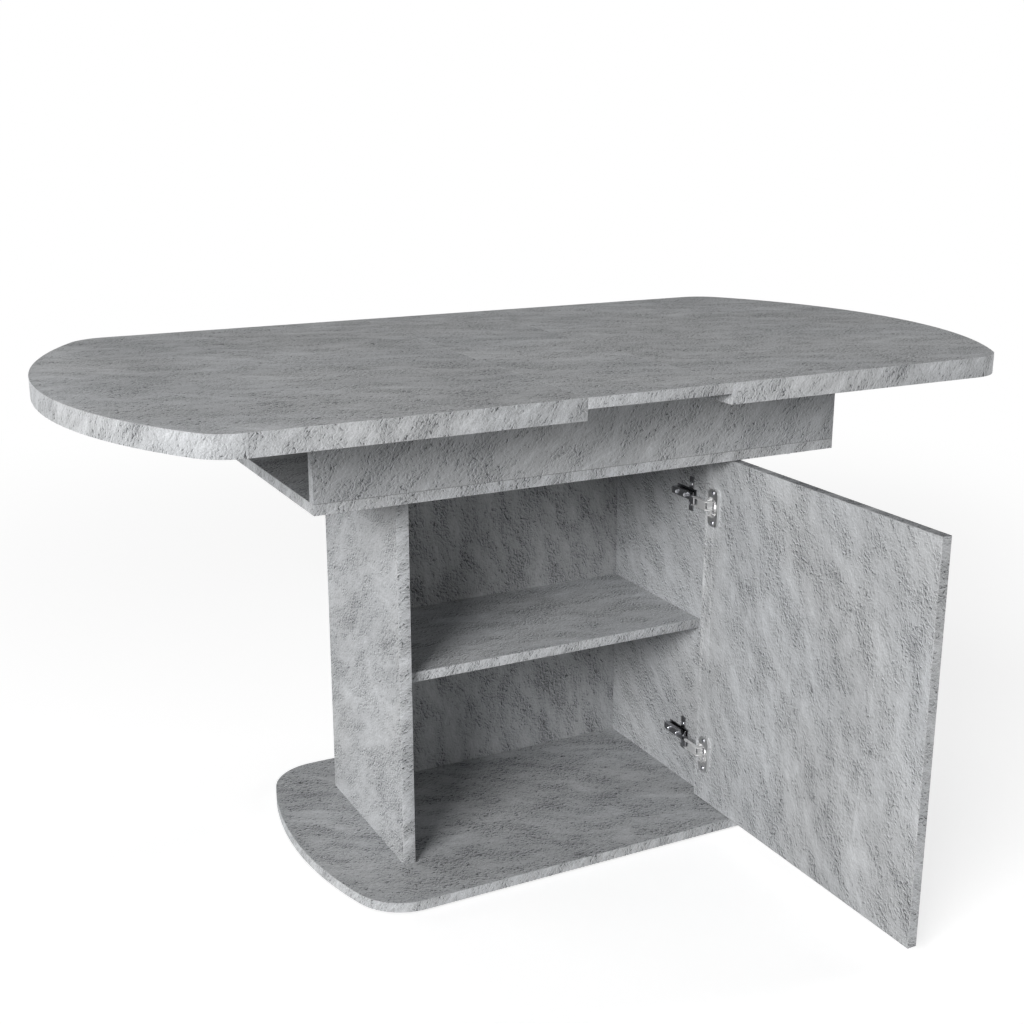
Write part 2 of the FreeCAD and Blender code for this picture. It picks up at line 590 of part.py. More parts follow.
def hinge_link(label, level):
    """Bent link: two cheeks from the cup pin over the door's edge to the nose, joined by a bridge outside.
    Its own zero is the cup pin, where it turns."""
    body = new_body(label)
    # open door: what was behind the door's outer face is now in from the side panel, and the reverse
    pin_side = "(pivot_side * -1 + pivot_front + cup_pin_depth)"
    pin_front = "(pivot_side + pivot_front + cup_pin_side)"
    knee_x, knee_y = f"({pin_side} - link_knee_side)", f"({pin_front} - link_knee_front)"
    nose_x, nose_y = f"({pin_side} - nose_side)", f"({pin_front} + nose_back)"
    outer = "(link_half_width + steel / 2)"
    outline = new_sketch(body, "XY")
    polygon(outline, [
        ("link_half_width", "-link_half_width / 2"), ("link_half_width", "link_half_width"),
        (f"{knee_x} + link_half_width", f"{knee_y} + {outer}"), (f"{nose_x} + link_half_width", nose_y),
        (f"{nose_x} + link_half_width / 2", f"{nose_y} + link_half_width"),
        (f"{nose_x} - link_half_width / 2", f"{nose_y} + link_half_width"),
        (f"{nose_x} - link_half_width", nose_y), (f"{knee_x} - link_half_width", knee_y),
        (f"{knee_x} - link_half_width / 2", f"{knee_y} - link_half_width"),
        ("-link_half_width / 2", "-link_half_width"), ("link_half_width / 2", "-link_half_width"),
    ])
    gap = "(nose_width + 2 * cheek_play)"
    pad(body, outline, f"{gap} + 2 * steel", 1, middle=True)
    far = "half_length"
    web_x = f"({knee_x} - link_half_width + steel)"
    space = new_sketch(body, "XY")
    polygon(space, [
        (f"-{far}", f"-{far}"), (far, f"-{far}"), (far, far), (f"-{far}", far),
        (f"-{far}", f"{knee_y} + link_web_length"), (web_x, f"{knee_y} + link_web_length"),
        (web_x, knee_y), (f"-{far}", knee_y),
    ])
    pocket(body, space, gap, 1, middle=True)
    drill(body, "XY", f"{gap}", [("0", "0")], "hinge_pin", f"2 * {gap}", -1)
    place(body, f"inner_half - {pin_side}", f"-cabinet_front - {pin_front}", level)


for name, level in (("upper", "upper_hinge"), ("lower", "lower_hinge")):
    hinge_cup(f"{name}_hinge_cup", level)
    hinge_arm(f"{name}_hinge_arm", level)
    mounting_plate(f"{name}_mounting_plate", level)
    hinge_link(f"{name}_hinge_link", level)

cup_pins = new_body("hinge_cup_pins", several=True)
cup_pin_half = "sqrt((cup_diameter / 2 - cup_wall)^2 - (cup_pin_x - cup_x + hinge_pin / 2)^2) - hole_play"
for level in ("lower_hinge", "upper_hinge"):
    pin = new_sketch(cup_pins, "XY", f"{level} - ({cup_pin_half})")
    circles(pin, [("cup_pin_x", "cup_pin_y")], "hinge_pin")
    pad(cup_pins, pin, f"2 * ({cup_pin_half})")
place_open(cup_pins)

nose_pins = new_body("hinge_nose_pins", several=True)
for level in ("lower_hinge", "upper_hinge"):
    pin = new_sketch(nose_pins, "XY", f"{level} - nose_width / 2")
    circles(pin, [("nose_x", "nose_y")], "hinge_pin")
    pad(nose_pins, pin, "nose_width")

cup_screws = new_body("hinge_cup_screws", several=True)
screws(cup_screws, "XZ", "door_inner_face + flange_thick + hinge_head_height", cup_screw_holes,
       "cup_screw_head", "hinge_head_height", "cup_screw",
       "hinge_head_height + flange_thick + cup_screw_bite", -1)
place_open(cup_screws, "door_bottom")

plate_screws = new_body("hinge_plate_screws", several=True)
screws(plate_screws, "YZ", "inner_half - plate_thick - hinge_head_height", PLATE_SCREWS, "plate_screw_head",
       "hinge_head_height", "plate_screw", "hinge_head_height + plate_thick + plate_screw_bite", 1)

adjusting_screws = new_body("hinge_adjusting_screws", several=True)
adjust_centres = [
    (f"{y} - cabinet_front", level)
    for y in ADJUST_PLACES
    for level in ("lower_hinge", "upper_hinge")
]
screws(adjusting_screws, "YZ", "inner_half - arm_rise - hinge_head_height", adjust_centres, "adjust_head",
       "hinge_head_height", "adjust_screw", "hinge_head_height + steel", 1)


# ---------------------------------------------------------------- box under the top
box_floor = new_body("box_floor")
floor_outline = new_sketch(box_floor, "XY", "cabinet_top")
rectangle(floor_outline, "band - box_length / 2", "band - box_width / 2",
          "box_length / 2 - band", "box_width / 2 - band")
pad(box_floor, floor_outline, "board")
drill(box_floor, "XY", "cabinet_top", CARCASS_SCREWS + BOX_SCREWS, "screw_shank", "board", 1)

floor_band = new_body("box_floor_edge_band")
floor_ring = new_sketch(floor_band, "XY", "cabinet_top")
rectangle(floor_ring, "-box_length / 2", "-box_width / 2", "box_length / 2", "box_width / 2")
rectangle(floor_ring, "band - box_length / 2", "band - box_width / 2",
          "box_length / 2 - band", "box_width / 2 - band")
pad(floor_band, floor_ring, "board")

CROSS_RAIL_LOW = "box_floor_top + leaf_store_height"


def box_panel(label, sign):
    body = new_body(label)
    outline = new_sketch(body, "XZ", f"{sign} * box_inner")
    rectangle(outline, "band - box_length / 2", "box_floor_top",
              "box_length / 2 - band", "box_floor_top + panel_height")
    pad(body, outline, "board", sign)
    pilots = [(x, f"{sign} * (box_width / 2 - board / 2)") for x in BOX_SCREW_X]
    drill(body, "XY", "box_floor_top", pilots, "screw_shank", "screw_bite", 1)
    housings = new_sketch(body, "XZ", f"{sign} * box_inner")
    for x in mirrored(["cross_rail_place"]):
        rectangle(housings, f"{x} - board / 2 - hole_play", f"{CROSS_RAIL_LOW} - hole_play",
                  f"{x} + board / 2 + hole_play", f"{CROSS_RAIL_LOW} + cross_rail_height + hole_play")
    pocket(body, housings, "cross_rail_housing", sign)


box_panel("box_front_panel", -1)
box_panel("box_back_panel", 1)

panel_bands = new_body("box_panel_end_bands", several=True)
for end in (-1, 1):
    for sign in (-1, 1):
        strip = new_sketch(panel_bands, "XY", "box_floor_top")
        rectangle(strip, f"{end} * (box_length / 2 - band)", f"{sign} * box_inner",
                  f"{end} * box_length / 2", f"{sign} * box_width / 2")
        pad(panel_bands, strip, "panel_height")

for label, sign in (("left_cross_rail", -1), ("right_cross_rail", 1)):
    cross_rail = new_body(label)
    cross_outline = new_sketch(cross_rail, "XY", CROSS_RAIL_LOW)
    rectangle(cross_outline, f"{sign} * cross_rail_place - board / 2", "-box_inner - cross_rail_housing",
              f"{sign} * cross_rail_place + board / 2", "box_inner + cross_rail_housing")
    pad(cross_rail, cross_outline, "cross_rail_height")

rest_pads = new_body("leaf_rest_pads", several=True)
for x in mirrored(["pad_place"]):
    for sign in (-1, 1):
        pad_sketch = new_sketch(rest_pads, "XY", "box_floor_top + panel_height")
        rectangle(pad_sketch, f"{x} - pad_length / 2", f"{sign} * box_inner",
                  f"{x} + pad_length / 2", f"{sign} * box_width / 2")
        pad(rest_pads, pad_sketch, "pad_thick")


# ---------------------------------------------------------------- slides: guide rails, stops, runners, shoes
def across(sign, depth):
    """Sideways place of a point that lies a depth in from the inner face of a box panel."""
    return f"{sign} * (box_inner - ({depth}))"


def in_rail(sign, corners):
    """Corners given as (depth from the panel, height from the middle of the rail) at their place."""
    return [(across(sign, depth), f"rail_middle + ({height})") for depth, height in corners]


def guide_rail(label, sign):
    body = new_body(label)
    profile = new_sketch(body, "YZ")
    half, inner = "rail_height / 2", "(rail_height / 2 - rail_wall)"
    slot = f"({inner} - rail_lip)"
    corners = [
        ("0", f"-{half}"), ("rail_depth", f"-{half}"), ("rail_depth", f"-{slot}"),
        ("rail_depth - rail_wall", f"-{slot}"), ("rail_depth - rail_wall", f"-{inner}"),
        ("rail_wall", f"-{inner}"), ("rail_wall", inner), ("rail_depth - rail_wall", inner),
        ("rail_depth - rail_wall", slot), ("rail_depth", slot), ("rail_depth", half), ("0", half),
    ]
    polygon(profile, in_rail(sign, corners))
    pad(body, profile, "rail_length", 1, middle=True)


guide_rail("front_guide_rail", -1)
guide_rail("back_guide_rail", 1)

rail_stops = new_body("guide_rail_stops", several=True)
stop_start = "(runner_start + shoe_length + pull_out + shoe_play)"
for end in (-1, 1):
    for sign in (-1, 1):
        stop = new_sketch(rail_stops, "YZ", f"{end} * {stop_start}")
        rectangle(stop, across(sign, "rail_wall"), "rail_middle - stop_height / 2",
                  across(sign, "rail_wall + tongue_place - shoe_play"), "rail_middle + stop_height / 2")
        pad(rail_stops, stop, "stop_length", end)

RUNNER_FLANGE_START = "rail_depth + runner_gap"


def runner(label, sign, turn):
    """Runner of one half: tongue in the rail, neck through the slot, wall up to the flange under the top."""
    body = new_body(label)
    profile = new_sketch(body, "YZ", "runner_start")
    near, far = "(rail_wall + tongue_place)", "(rail_wall + tongue_place + runner_wall)"
    wall, past = f"({RUNNER_FLANGE_START})", f"({RUNNER_FLANGE_START} + runner_wall)"
    tall, neck = "(tongue_height / 2)", "(runner_wall / 2)"
    flange_top, flange_low = "(under_top - rail_middle)", "(under_top - rail_middle - runner_wall)"
    corners = [
        (near, f"-{tall}"), (far, f"-{tall}"), (far, f"-{neck}"), (past, f"-{neck}"),
        (past, flange_low), (f"{wall} + runner_flange", flange_low), (f"{wall} + runner_flange", flange_top),
        (wall, flange_top), (wall, neck), (far, neck), (far, tall), (near, tall),
    ]
    polygon(profile, in_rail(sign, corners))
    pad(body, profile, "runner_end - runner_start", 1)
    place(body, turn=turn)


def glide_shoes(label, turn):
    """Two nylon shoes on each tongue, each wrapped round it and slotted for the neck."""
    body = new_body(label, several=True)
    inner, outer = "(rail_wall + shoe_play)", "(rail_depth - rail_wall - shoe_play)"
    near = "(rail_wall + tongue_place - hole_play)"
    far = "(rail_wall + tongue_place + runner_wall + hole_play)"
    half = "(rail_height / 2 - rail_wall - shoe_play)"
    tall, neck = "(tongue_height / 2 + hole_play)", "(runner_wall / 2 + hole_play)"
    corners = [
        (inner, f"-{half}"), (outer, f"-{half}"), (outer, f"-{neck}"), (far, f"-{neck}"),
        (far, f"-{tall}"), (near, f"-{tall}"), (near, tall), (far, tall), (far, neck), (outer, neck),
        (outer, half), (inner, half),
    ]
    for sign in (-1, 1):
        for start in ("runner_start", "outer_shoe_start"):
            profile = new_sketch(body, "YZ", start)
            polygon(profile, in_rail(sign, corners))
            pad(body, profile, "shoe_length", 1)
    place(body, turn=turn)


# ---------------------------------------------------------------- the two halves of the top
def half_outline(body, inset, level):
    sketch = new_sketch(body, "XY", level)
    barrel(sketch, "top_end", "top_width / 2", "top_bulge", "top_corner", inset, start="seam_end")
    return sketch


def top_half(side, turn):
    """One half, drawn to the right of the seam; the left half is the same, turned half way round."""
    near, far = ("front", "back") if turn == 0 else ("back", "front")
    top_board = new_body(f"{side}_top_board")
    pad(top_board, half_outline(top_board, "band", "under_top"), "board")
    place(top_board, turn=turn)

    edge_band = new_body(f"{side}_top_edge_band")
    pad(edge_band, half_outline(edge_band, "0", "under_top - board"), "2 * board")
    inner = new_sketch(edge_band, "XY", "under_top - board")
    barrel(inner, "top_end", "top_width / 2", "top_bulge", "top_corner", "band", start="seam_end - band")
    pocket(edge_band, inner, "2 * board", 1)
    place(edge_band, turn=turn)

    end_block = new_body(f"{side}_top_end_block")
    pad(end_block, half_outline(end_block, "band", "under_top - board"), "board")
    cut = new_sketch(end_block, "XY", "under_top - board")
    rectangle(cut, "0", "-top_width", "end_block_start", "top_width")
    pocket(end_block, cut, "board", 1)
    place(end_block, turn=turn)

    for name, sign in ((near, -1), (far, 1)):
        strip = new_body(f"{side}_top_{name}_strip")
        pad(strip, half_outline(strip, "band", "under_top - board"), "board")
        past_block = new_sketch(strip, "XY", "under_top - board")
        rectangle(past_block, "end_block_start", "-top_width", "2 * top_end", "top_width")
        pocket(strip, past_block, "board", 1)
        inside = new_sketch(strip, "XY", "under_top - board")
        strip_edge = f"{sign} * (top_width / 2 - doubling_width)"
        rectangle(inside, "0", strip_edge, "2 * top_end", f"-({sign}) * top_width")
        pocket(strip, inside, "board", 1)
        place(strip, turn=turn)

        runner(f"{side}_{name}_runner", sign, turn)

    glide_shoes(f"{side}_glide_shoes", turn)


top_half("right", 0.0)
top_half("left", 180.0)


# ---------------------------------------------------------------- extension leaf
leaf = new_body("extension_leaf")
leaf_outline = new_sketch(leaf, "XY", "under_top")
rectangle(leaf_outline, "-leaf_length / 2", "band - top_width / 2", "leaf_length / 2", "top_width / 2 - band")
pad(leaf, leaf_outline, "board")

leaf_bands = new_body("leaf_edge_bands", several=True)
for sign in (-1, 1):
    leaf_strip = new_sketch(leaf_bands, "XY", "under_top")
    rectangle(leaf_strip, "-leaf_length / 2", f"{sign} * (top_width / 2 - band)",
              "leaf_length / 2", f"{sign} * top_width / 2")
    pad(leaf_bands, leaf_strip, "board")

cleats = new_body("leaf_cleats", several=True)
cleat_half = "box_inner - rail_depth - cleat_play"
for x in mirrored(["cleat_place"]):
    cleat = new_sketch(cleats, "XY", "under_top - cleat_height")
    rectangle(cleat, f"{x} - cleat_width / 2", f"-({cleat_half})", f"{x} + cleat_width / 2", cleat_half)
    pad(cleats, cleat, "cleat_height")


# ---------------------------------------------------------------- check and write every piece
document.recompute()
for item in document.Objects:
    if {"Invalid", "Error"} & set(item.State):
        raise RuntimeError(f"{item.Name} failed: {item.State}")
for part in PARTS:
    if part.Shape.isNull() or not part.Shape.isValid() or not part.Shape.Solids:
        raise RuntimeError(f"{part.Label} has no valid solid")
os.makedirs("parts", exist_ok=True)
for part in PARTS:
    part.Shape.exportStep(f"parts/{part.Label}.step")
print(len(PARTS), "parts,", sum(len(part.Shape.Solids) for part in PARTS), "solids")
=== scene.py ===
import bisect
import itertools
import json
import math
from collections import namedtuple

import bmesh
import bpy
from mathutils import Matrix, Vector

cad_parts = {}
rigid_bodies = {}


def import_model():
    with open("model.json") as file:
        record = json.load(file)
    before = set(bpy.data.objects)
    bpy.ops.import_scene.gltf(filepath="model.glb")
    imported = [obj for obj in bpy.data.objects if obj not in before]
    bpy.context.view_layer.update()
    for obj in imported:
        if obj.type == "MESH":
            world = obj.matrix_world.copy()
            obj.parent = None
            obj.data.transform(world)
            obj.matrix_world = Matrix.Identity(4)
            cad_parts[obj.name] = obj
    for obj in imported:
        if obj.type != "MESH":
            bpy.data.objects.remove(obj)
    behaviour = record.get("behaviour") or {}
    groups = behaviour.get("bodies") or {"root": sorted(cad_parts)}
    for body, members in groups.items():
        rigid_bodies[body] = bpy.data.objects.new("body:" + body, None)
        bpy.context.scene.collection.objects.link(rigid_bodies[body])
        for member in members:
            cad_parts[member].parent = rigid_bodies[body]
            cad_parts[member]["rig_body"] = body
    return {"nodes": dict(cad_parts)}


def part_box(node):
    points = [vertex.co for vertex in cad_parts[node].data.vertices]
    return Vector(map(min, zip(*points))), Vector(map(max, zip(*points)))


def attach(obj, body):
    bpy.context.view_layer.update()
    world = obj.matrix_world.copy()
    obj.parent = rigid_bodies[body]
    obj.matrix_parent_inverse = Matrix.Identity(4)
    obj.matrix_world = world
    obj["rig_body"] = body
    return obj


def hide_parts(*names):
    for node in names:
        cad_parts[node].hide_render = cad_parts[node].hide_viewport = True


# Looks of the pedestal kitchen table: concrete-look board with light edge bands, nickel-plated hinges,
# zinc-plated screws, aluminium rails, nylon shoes, felt pads and plain wood.
# Metres, X along the table, -Y the door side, Z up.

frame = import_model()
NODES = frame["nodes"]
BODY_OF = {name: node["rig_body"] for name, node in NODES.items()}
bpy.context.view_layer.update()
MM = 0.001


# ---------------------------------------------------------------- camera and lamps
CAMERA_PLACE = (-1.0041, -1.9209, 1.1122)
CAMERA_TILT = math.radians(74.155)
CAMERA_HEADING = math.radians(-27.138)
CAMERA_LENS = 50.05
CAMERA_SENSOR = 36.0

SoftBox = namedtuple("SoftBox", "name place target size power")
SOFT_BOXES = (
    SoftBox("key_box", place=(-4.1, -3.1, 2.45), target=(0.0, 0.0, 0.4), size=(2.4, 1.8), power=266.0),
    SoftBox("front_box", place=(1.2, -4.8, 1.3), target=(0.0, 0.0, 0.5), size=(2.8, 1.4), power=22.0),
    SoftBox("right_box", place=(4.7, -0.6, 1.5), target=(0.2, 0.0, 0.4), size=(2.2, 1.6), power=110.0),
    SoftBox("back_box", place=(-3.3, 3.9, 1.5), target=(0.0, 0.0, 0.4), size=(3.0, 1.8), power=80.0),
)


def make_camera():
    camera = bpy.data.objects.new("camera", bpy.data.cameras.new("camera"))
    camera.data.sensor_width = CAMERA_SENSOR
    camera.data.lens = CAMERA_LENS
    camera.location = CAMERA_PLACE
    camera.rotation_euler = (CAMERA_TILT, 0.0, CAMERA_HEADING)
    bpy.context.scene.collection.objects.link(camera)
    bpy.context.scene.camera = camera


def make_lamp(box):
    """A rectangular soft lamp at its place, shining at its target."""
    light = bpy.data.lights.new(box.name, "AREA")
    light.shape = "RECTANGLE"
    light.size, light.size_y = box.size
    light.energy = box.power
    lamp = bpy.data.objects.new(box.name, light)
    beam = Vector(box.target) - Vector(box.place)
    lamp.location = box.place
    lamp.rotation_euler = beam.to_track_quat("-Z", "Y").to_euler()
    bpy.context.scene.collection.objects.link(lamp)


# ---------------------------------------------------------------- building node trees
class Tree:
    """Shorthand for a node tree: add nodes, set or link their sockets."""

    def __init__(self, tree):
        self.tree = tree

    def set(self, socket, value):
        if isinstance(value, bpy.types.NodeSocket):
            self.tree.links.new(value, socket)
        elif value is not None:
            socket.default_value = value

    def add(self, kind, inputs=None, **settings):
        node = self.tree.nodes.new(kind)
        for name, value in settings.items():
            setattr(node, name, value)
        for name, value in (inputs or {}).items():
            self.set(node.inputs[name], value)
        return node

    def math(self, operation, a, b=None, c=None, clamp=False):
        sockets = {0: a, 1: b, 2: c}
        return self.add("ShaderNodeMath", sockets, operation=operation, use_clamp=clamp).outputs[0]

    def vector(self, operation, a, b=None):
        return self.add("ShaderNodeVectorMath", {0: a, 1: b}, operation=operation).outputs[0]

    def noise(self, place, scale=1.0, detail=2.0, roughness=0.5, distortion=0.0):
        sockets = {"Vector": place, "Scale": scale, "Detail": detail, "Roughness": roughness,
                   "Distortion": distortion}
        return self.add("ShaderNodeTexNoise", sockets)

    def stretched_noise(self, place, scales, detail=1.0, roughness=0.5):
        """A noise value with its own count per metre along each axis."""
        stretched = self.vector("MULTIPLY", place, scales)
        return self.noise(stretched, 1.0, detail, roughness).outputs[0]

    def about_zero(self, value):
        """A noise value, which lies about one half, moved to lie about zero."""
        return self.math("SUBTRACT", value, 0.5)

    def ramp(self, value, low, high, to_low=0.0, to_high=1.0, steps="SMOOTHSTEP"):
        """A value between low and high carried over to another span, smoothly at both ends or evenly."""
        sockets = {"Value": value, "From Min": low, "From Max": high, "To Min": to_low, "To Max": to_high}
        return self.add("ShaderNodeMapRange", sockets, interpolation_type=steps).outputs[0]

    def mix(self, share, a, b, blend="MIX"):
        node = self.add("ShaderNodeMix", {0: share}, data_type="RGBA", blend_type=blend)
        self.set(node.inputs[6], a)
        self.set(node.inputs[7], b)
        return node.outputs[2]

    def group(self, group, **values):
        return self.add("ShaderNodeGroup", values, node_tree=group)


SOCKET_KINDS = {"vector": "NodeSocketVector", "value": "NodeSocketFloat", "colour": "NodeSocketColor"}


def new_group(name, inputs, outputs):
    """A shader node group with named inputs (kind, default) and outputs; gives its tree and its inputs."""
    group = bpy.data.node_groups.new(name, "ShaderNodeTree")
    for label, (kind, default) in inputs.items():
        socket = group.interface.new_socket(label, in_out="INPUT", socket_type=SOCKET_KINDS[kind])
        if default is not None:
            socket.default_value = default
    for label, kind in outputs.items():
        group.interface.new_socket(label, in_out="OUTPUT", socket_type=SOCKET_KINDS[kind])
    entry = group.nodes.new("NodeGroupInput")
    return Tree(group), entry.outputs


def close_group(tree, **results):
    leave = tree.tree.nodes.new("NodeGroupOutput")
    for name, value in results.items():
        tree.set(leave.inputs[name], value)
    return tree.tree


def grey(level, tint=(1.0, 1.0, 1.0)):
    """A grey given as its 0-255 screen value, as a linear colour."""
    share = level / 255.0
    linear = share / 12.92 if share <= 0.04045 else ((share + 0.055) / 1.055) ** 2.4
    return (linear * tint[0], linear * tint[1], linear * tint[2], 1.0)


# ---------------------------------------------------------------- the concrete print
# Scales count marks per metre along X, Y and Z of the print; reaches and steps are metres.
HALF = (0.5, 0.5, 0.5)
CURL_SCALE = 70.0
CURL_REACH = (0.012, 0.012, 0.012)
RIDGE_SCALE = (190.0, 270.0, 240.0)
BEND_SCALE = 6.0
BEND_REACH = (0.06, 0.06, 0.0)
CLOUD_SCALE = (3.5, 8.0, 4.0)
PATCH_SCALE = (15.0, 34.0, 20.0)
GRAIN_SCALE = (500.0, 900.0, 700.0)
SCRATCH_SCALE = (2.2, 230.0, 2.0)
SCRATCH_TURN = (0.0, 0.0, 0.5)
DRIFT_SCALE = (3.0, 5.0, 3.0)
# The relief is compared with its own height this far away, to tell lit flanks from shaded ones.
FLANK_STEP = (-0.0006, 0.0010, 0.0)

# Between which values a noise goes from none of its effect to all of it.
CROWD_SPAN = (0.40, 0.60)
HOLLOW_SPAN = (0.44, 0.34)
SCRATCH_SPAN = (0.68, 0.74)
DRIFT_SPAN = (0.35, 0.65)
# Share of the pressed marks that is left outside the crowded patches.
BARE_MARKS = 0.28

# The level runs from 0, the darkest grey of the print, to 1, the lightest.
MIDDLE_LEVEL = 0.63
CLOUD_WEIGHT = 0.45
PATCH_WEIGHT = -0.95
FLANK_WEIGHT = 3.6
HOLLOW_WEIGHT = -0.4
GRAIN_WEIGHT = 0.3
SCRATCH_WEIGHT = 0.07
DARKEST = grey(84)
LIGHTEST = grey(226)
GREYS_BETWEEN = ((0.25, grey(132, (0.99, 1.0, 1.02))), (0.5, grey(170)), (0.75, grey(196)))
COOLER_TINT = (0.966, 0.988, 1.014, 1.0)
WARMER_TINT = (0.974, 0.99, 1.008, 1.0)
ROUGHNESS_SPAN = (0.2, 0.8)
DARK_ROUGHNESS = 0.74
LIGHT_ROUGHNESS = 0.62


def relief_group():
    """The troweled surface that the print shows: curled ridges, longer along X than across."""
    tree, given = new_group("troweled_relief", {"Place": ("vector", None)}, {"Height": "value"})
    curl = tree.vector("SUBTRACT", tree.noise(given["Place"], CURL_SCALE).outputs["Color"], HALF)
    curled = tree.vector("ADD", given["Place"], tree.vector("MULTIPLY", curl, CURL_REACH))
    height = tree.stretched_noise(curled, RIDGE_SCALE, detail=4.0, roughness=0.64)
    return close_group(tree, Height=height)


def print_group(relief):
    """The concrete print of the boards: broad clouds, dark patches of pressed marks, fine scratches."""
    inputs = {"Place": ("vector", None), "Cloud": ("value", 1.0), "Patch": ("value", 1.0),
              "Relief": ("value", 1.0), "Speck": ("value", 1.0), "Tone": ("value", 0.0)}
    outputs = {"Color": "colour", "Height": "value", "Roughness": "value"}
    tree, given = new_group("concrete_print", inputs, outputs)
    place = given["Place"]

    bend = tree.vector("SUBTRACT", tree.noise(place, BEND_SCALE).outputs["Color"], HALF)
    bent = tree.vector("ADD", place, tree.vector("MULTIPLY", bend, BEND_REACH))
    cloud = tree.stretched_noise(bent, CLOUD_SCALE, detail=4.0, roughness=0.6)
    patch = tree.stretched_noise(bent, PATCH_SCALE, detail=5.0, roughness=0.68)
    crowd = tree.ramp(patch, *CROWD_SPAN, BARE_MARKS, 1.0)

    height = tree.group(relief, Place=place).outputs["Height"]
    height_beside = tree.group(relief, Place=tree.vector("ADD", place, FLANK_STEP)).outputs["Height"]
    flanks = tree.math("MULTIPLY", tree.math("SUBTRACT", height, height_beside), crowd)
    hollows = tree.math("MULTIPLY", tree.ramp(height, *HOLLOW_SPAN), crowd)
    grain = tree.stretched_noise(place, GRAIN_SCALE)
    across = tree.add("ShaderNodeMapping", {"Vector": place, "Rotation": SCRATCH_TURN}).outputs[0]
    scratches = tree.ramp(tree.stretched_noise(across, SCRATCH_SCALE), *SCRATCH_SPAN)

    level = MIDDLE_LEVEL
    for signal, weight, knob in (
        (tree.about_zero(cloud), CLOUD_WEIGHT, "Cloud"),
        (tree.about_zero(patch), PATCH_WEIGHT, "Patch"),
        (flanks, FLANK_WEIGHT, "Relief"),
        (hollows, HOLLOW_WEIGHT, "Speck"),
        (tree.about_zero(grain), GRAIN_WEIGHT, "Speck"),
        (scratches, SCRATCH_WEIGHT, "Speck"),
    ):
        part = tree.math("MULTIPLY", tree.math("MULTIPLY", signal, given[knob]), weight)
        level = tree.math("ADD", part, level)
    level = tree.math("ADD", level, given["Tone"], clamp=True)

    colours = tree.add("ShaderNodeValToRGB", {"Fac": level})
    stops = colours.color_ramp.elements
    stops[0].position, stops[0].color = 0.0, DARKEST
    stops[1].position, stops[1].color = 1.0, LIGHTEST
    for position, shade in GREYS_BETWEEN:
        stops.new(position).color = shade
    drift = tree.ramp(tree.stretched_noise(place, DRIFT_SCALE), *DRIFT_SPAN)
    tint = tree.mix(drift, COOLER_TINT, WARMER_TINT)
    return close_group(
        tree,
        Color=tree.mix(1.0, colours.outputs[0], tint, "MULTIPLY"),
        Height=tree.math("MULTIPLY", height, crowd),
        Roughness=tree.ramp(level, *ROUGHNESS_SPAN, DARK_ROUGHNESS, LIGHT_ROUGHNESS),
    )


# ---------------------------------------------------------------- wear, painted edge light and metal
# Cosine between a surface and its rounded copy: where it is flat, and where it is an arris.
FLAT_AGREE = 0.99
ARRIS_AGREE = 0.75
# Drawing lines, smears and nicks of metal, counted per metre.
LINE_SCALE = (60.0, 2600.0, 2600.0)
SMEAR_SCALE = 90.0
NICK_SCALE = 900.0
NICK_HEIGHT = 0.3
LINE_SHADE = 0.25
LINE_ROUGHNESS = 0.1


def arris_group():
    """How near a point is to an outer edge of its piece, for arrises made lighter, brighter or darker:
    wear, and on boards and bands also painted highlight and painted shade.
    """
    tree, given = new_group("rubbed_arris", {"Reach": ("value", 0.001)}, {"Mask": "value"})
    eased = tree.add("ShaderNodeBevel", {"Radius": given["Reach"]}, samples=4).outputs[0]
    flat = tree.add("ShaderNodeNewGeometry").outputs["Normal"]
    agree = tree.add("ShaderNodeVectorMath", {0: eased, 1: flat}, operation="DOT_PRODUCT").outputs["Value"]
    return close_group(tree, Mask=tree.ramp(agree, FLAT_AGREE, ARRIS_AGREE))


def metal_group():
    """Bright metal with hard wear: drawing lines one way, fine random nicks, faint smears."""
    inputs = {"Place": ("vector", None), "Lines": ("value", 1.0), "Rough": ("value", 0.25),
              "Spread": ("value", 0.12)}
    outputs = {"Shade": "value", "Height": "value", "Roughness": "value"}
    tree, given = new_group("drawn_metal", inputs, outputs)
    lines = tree.stretched_noise(given["Place"], LINE_SCALE, detail=2.0, roughness=0.6)
    smear = tree.noise(given["Place"], SMEAR_SCALE, 3.0, 0.6).outputs[0]
    nick = tree.noise(given["Place"], NICK_SCALE, 1.0).outputs[0]
    drawn = tree.math("MULTIPLY", tree.about_zero(lines), given["Lines"])
    # Smears of wear, which spread the roughness.
    wear_and_painted_light = tree.math("MULTIPLY", tree.about_zero(smear), given["Spread"])
    rough = tree.math("ADD", given["Rough"], wear_and_painted_light)
    return close_group(
        tree,
        Shade=tree.math("MULTIPLY_ADD", drawn, LINE_SHADE, 1.0),
        Height=tree.math("ADD", drawn, tree.math("MULTIPLY", nick, NICK_HEIGHT)),
        Roughness=tree.math("ADD", rough, tree.math("MULTIPLY", drawn, LINE_ROUGHNESS), clamp=True),
    )


PRINT = print_group(relief_group())
ARRIS = arris_group()
METAL = metal_group()


# ---------------------------------------------------------------- materials
QUARTER_TURN = math.pi / 2
FACING = {
    "flat": (0.0, 0.0, 0.0),
    "side": (0.0, QUARTER_TURN, 0.0),
    "front_long": (-QUARTER_TURN, 0.0, 0.0),
    "front_high": (-QUARTER_TURN, 0.0, QUARTER_TURN),
}
# How far the places of two boards lie apart on the printed sheet.
SHEET_STEP = (1.37, 0.83)
cut_numbers = itertools.count(1)

BOARD_SPECULAR = 0.08
BOARD_DEPTH = 0.0004
BOARD_BUMP = 0.5
BAND_SPECULAR = 0.10
BAND_DEPTH = 0.0003
BAND_BUMP = 0.4
BAND_TURN = (0.0, 0.0, -0.96)
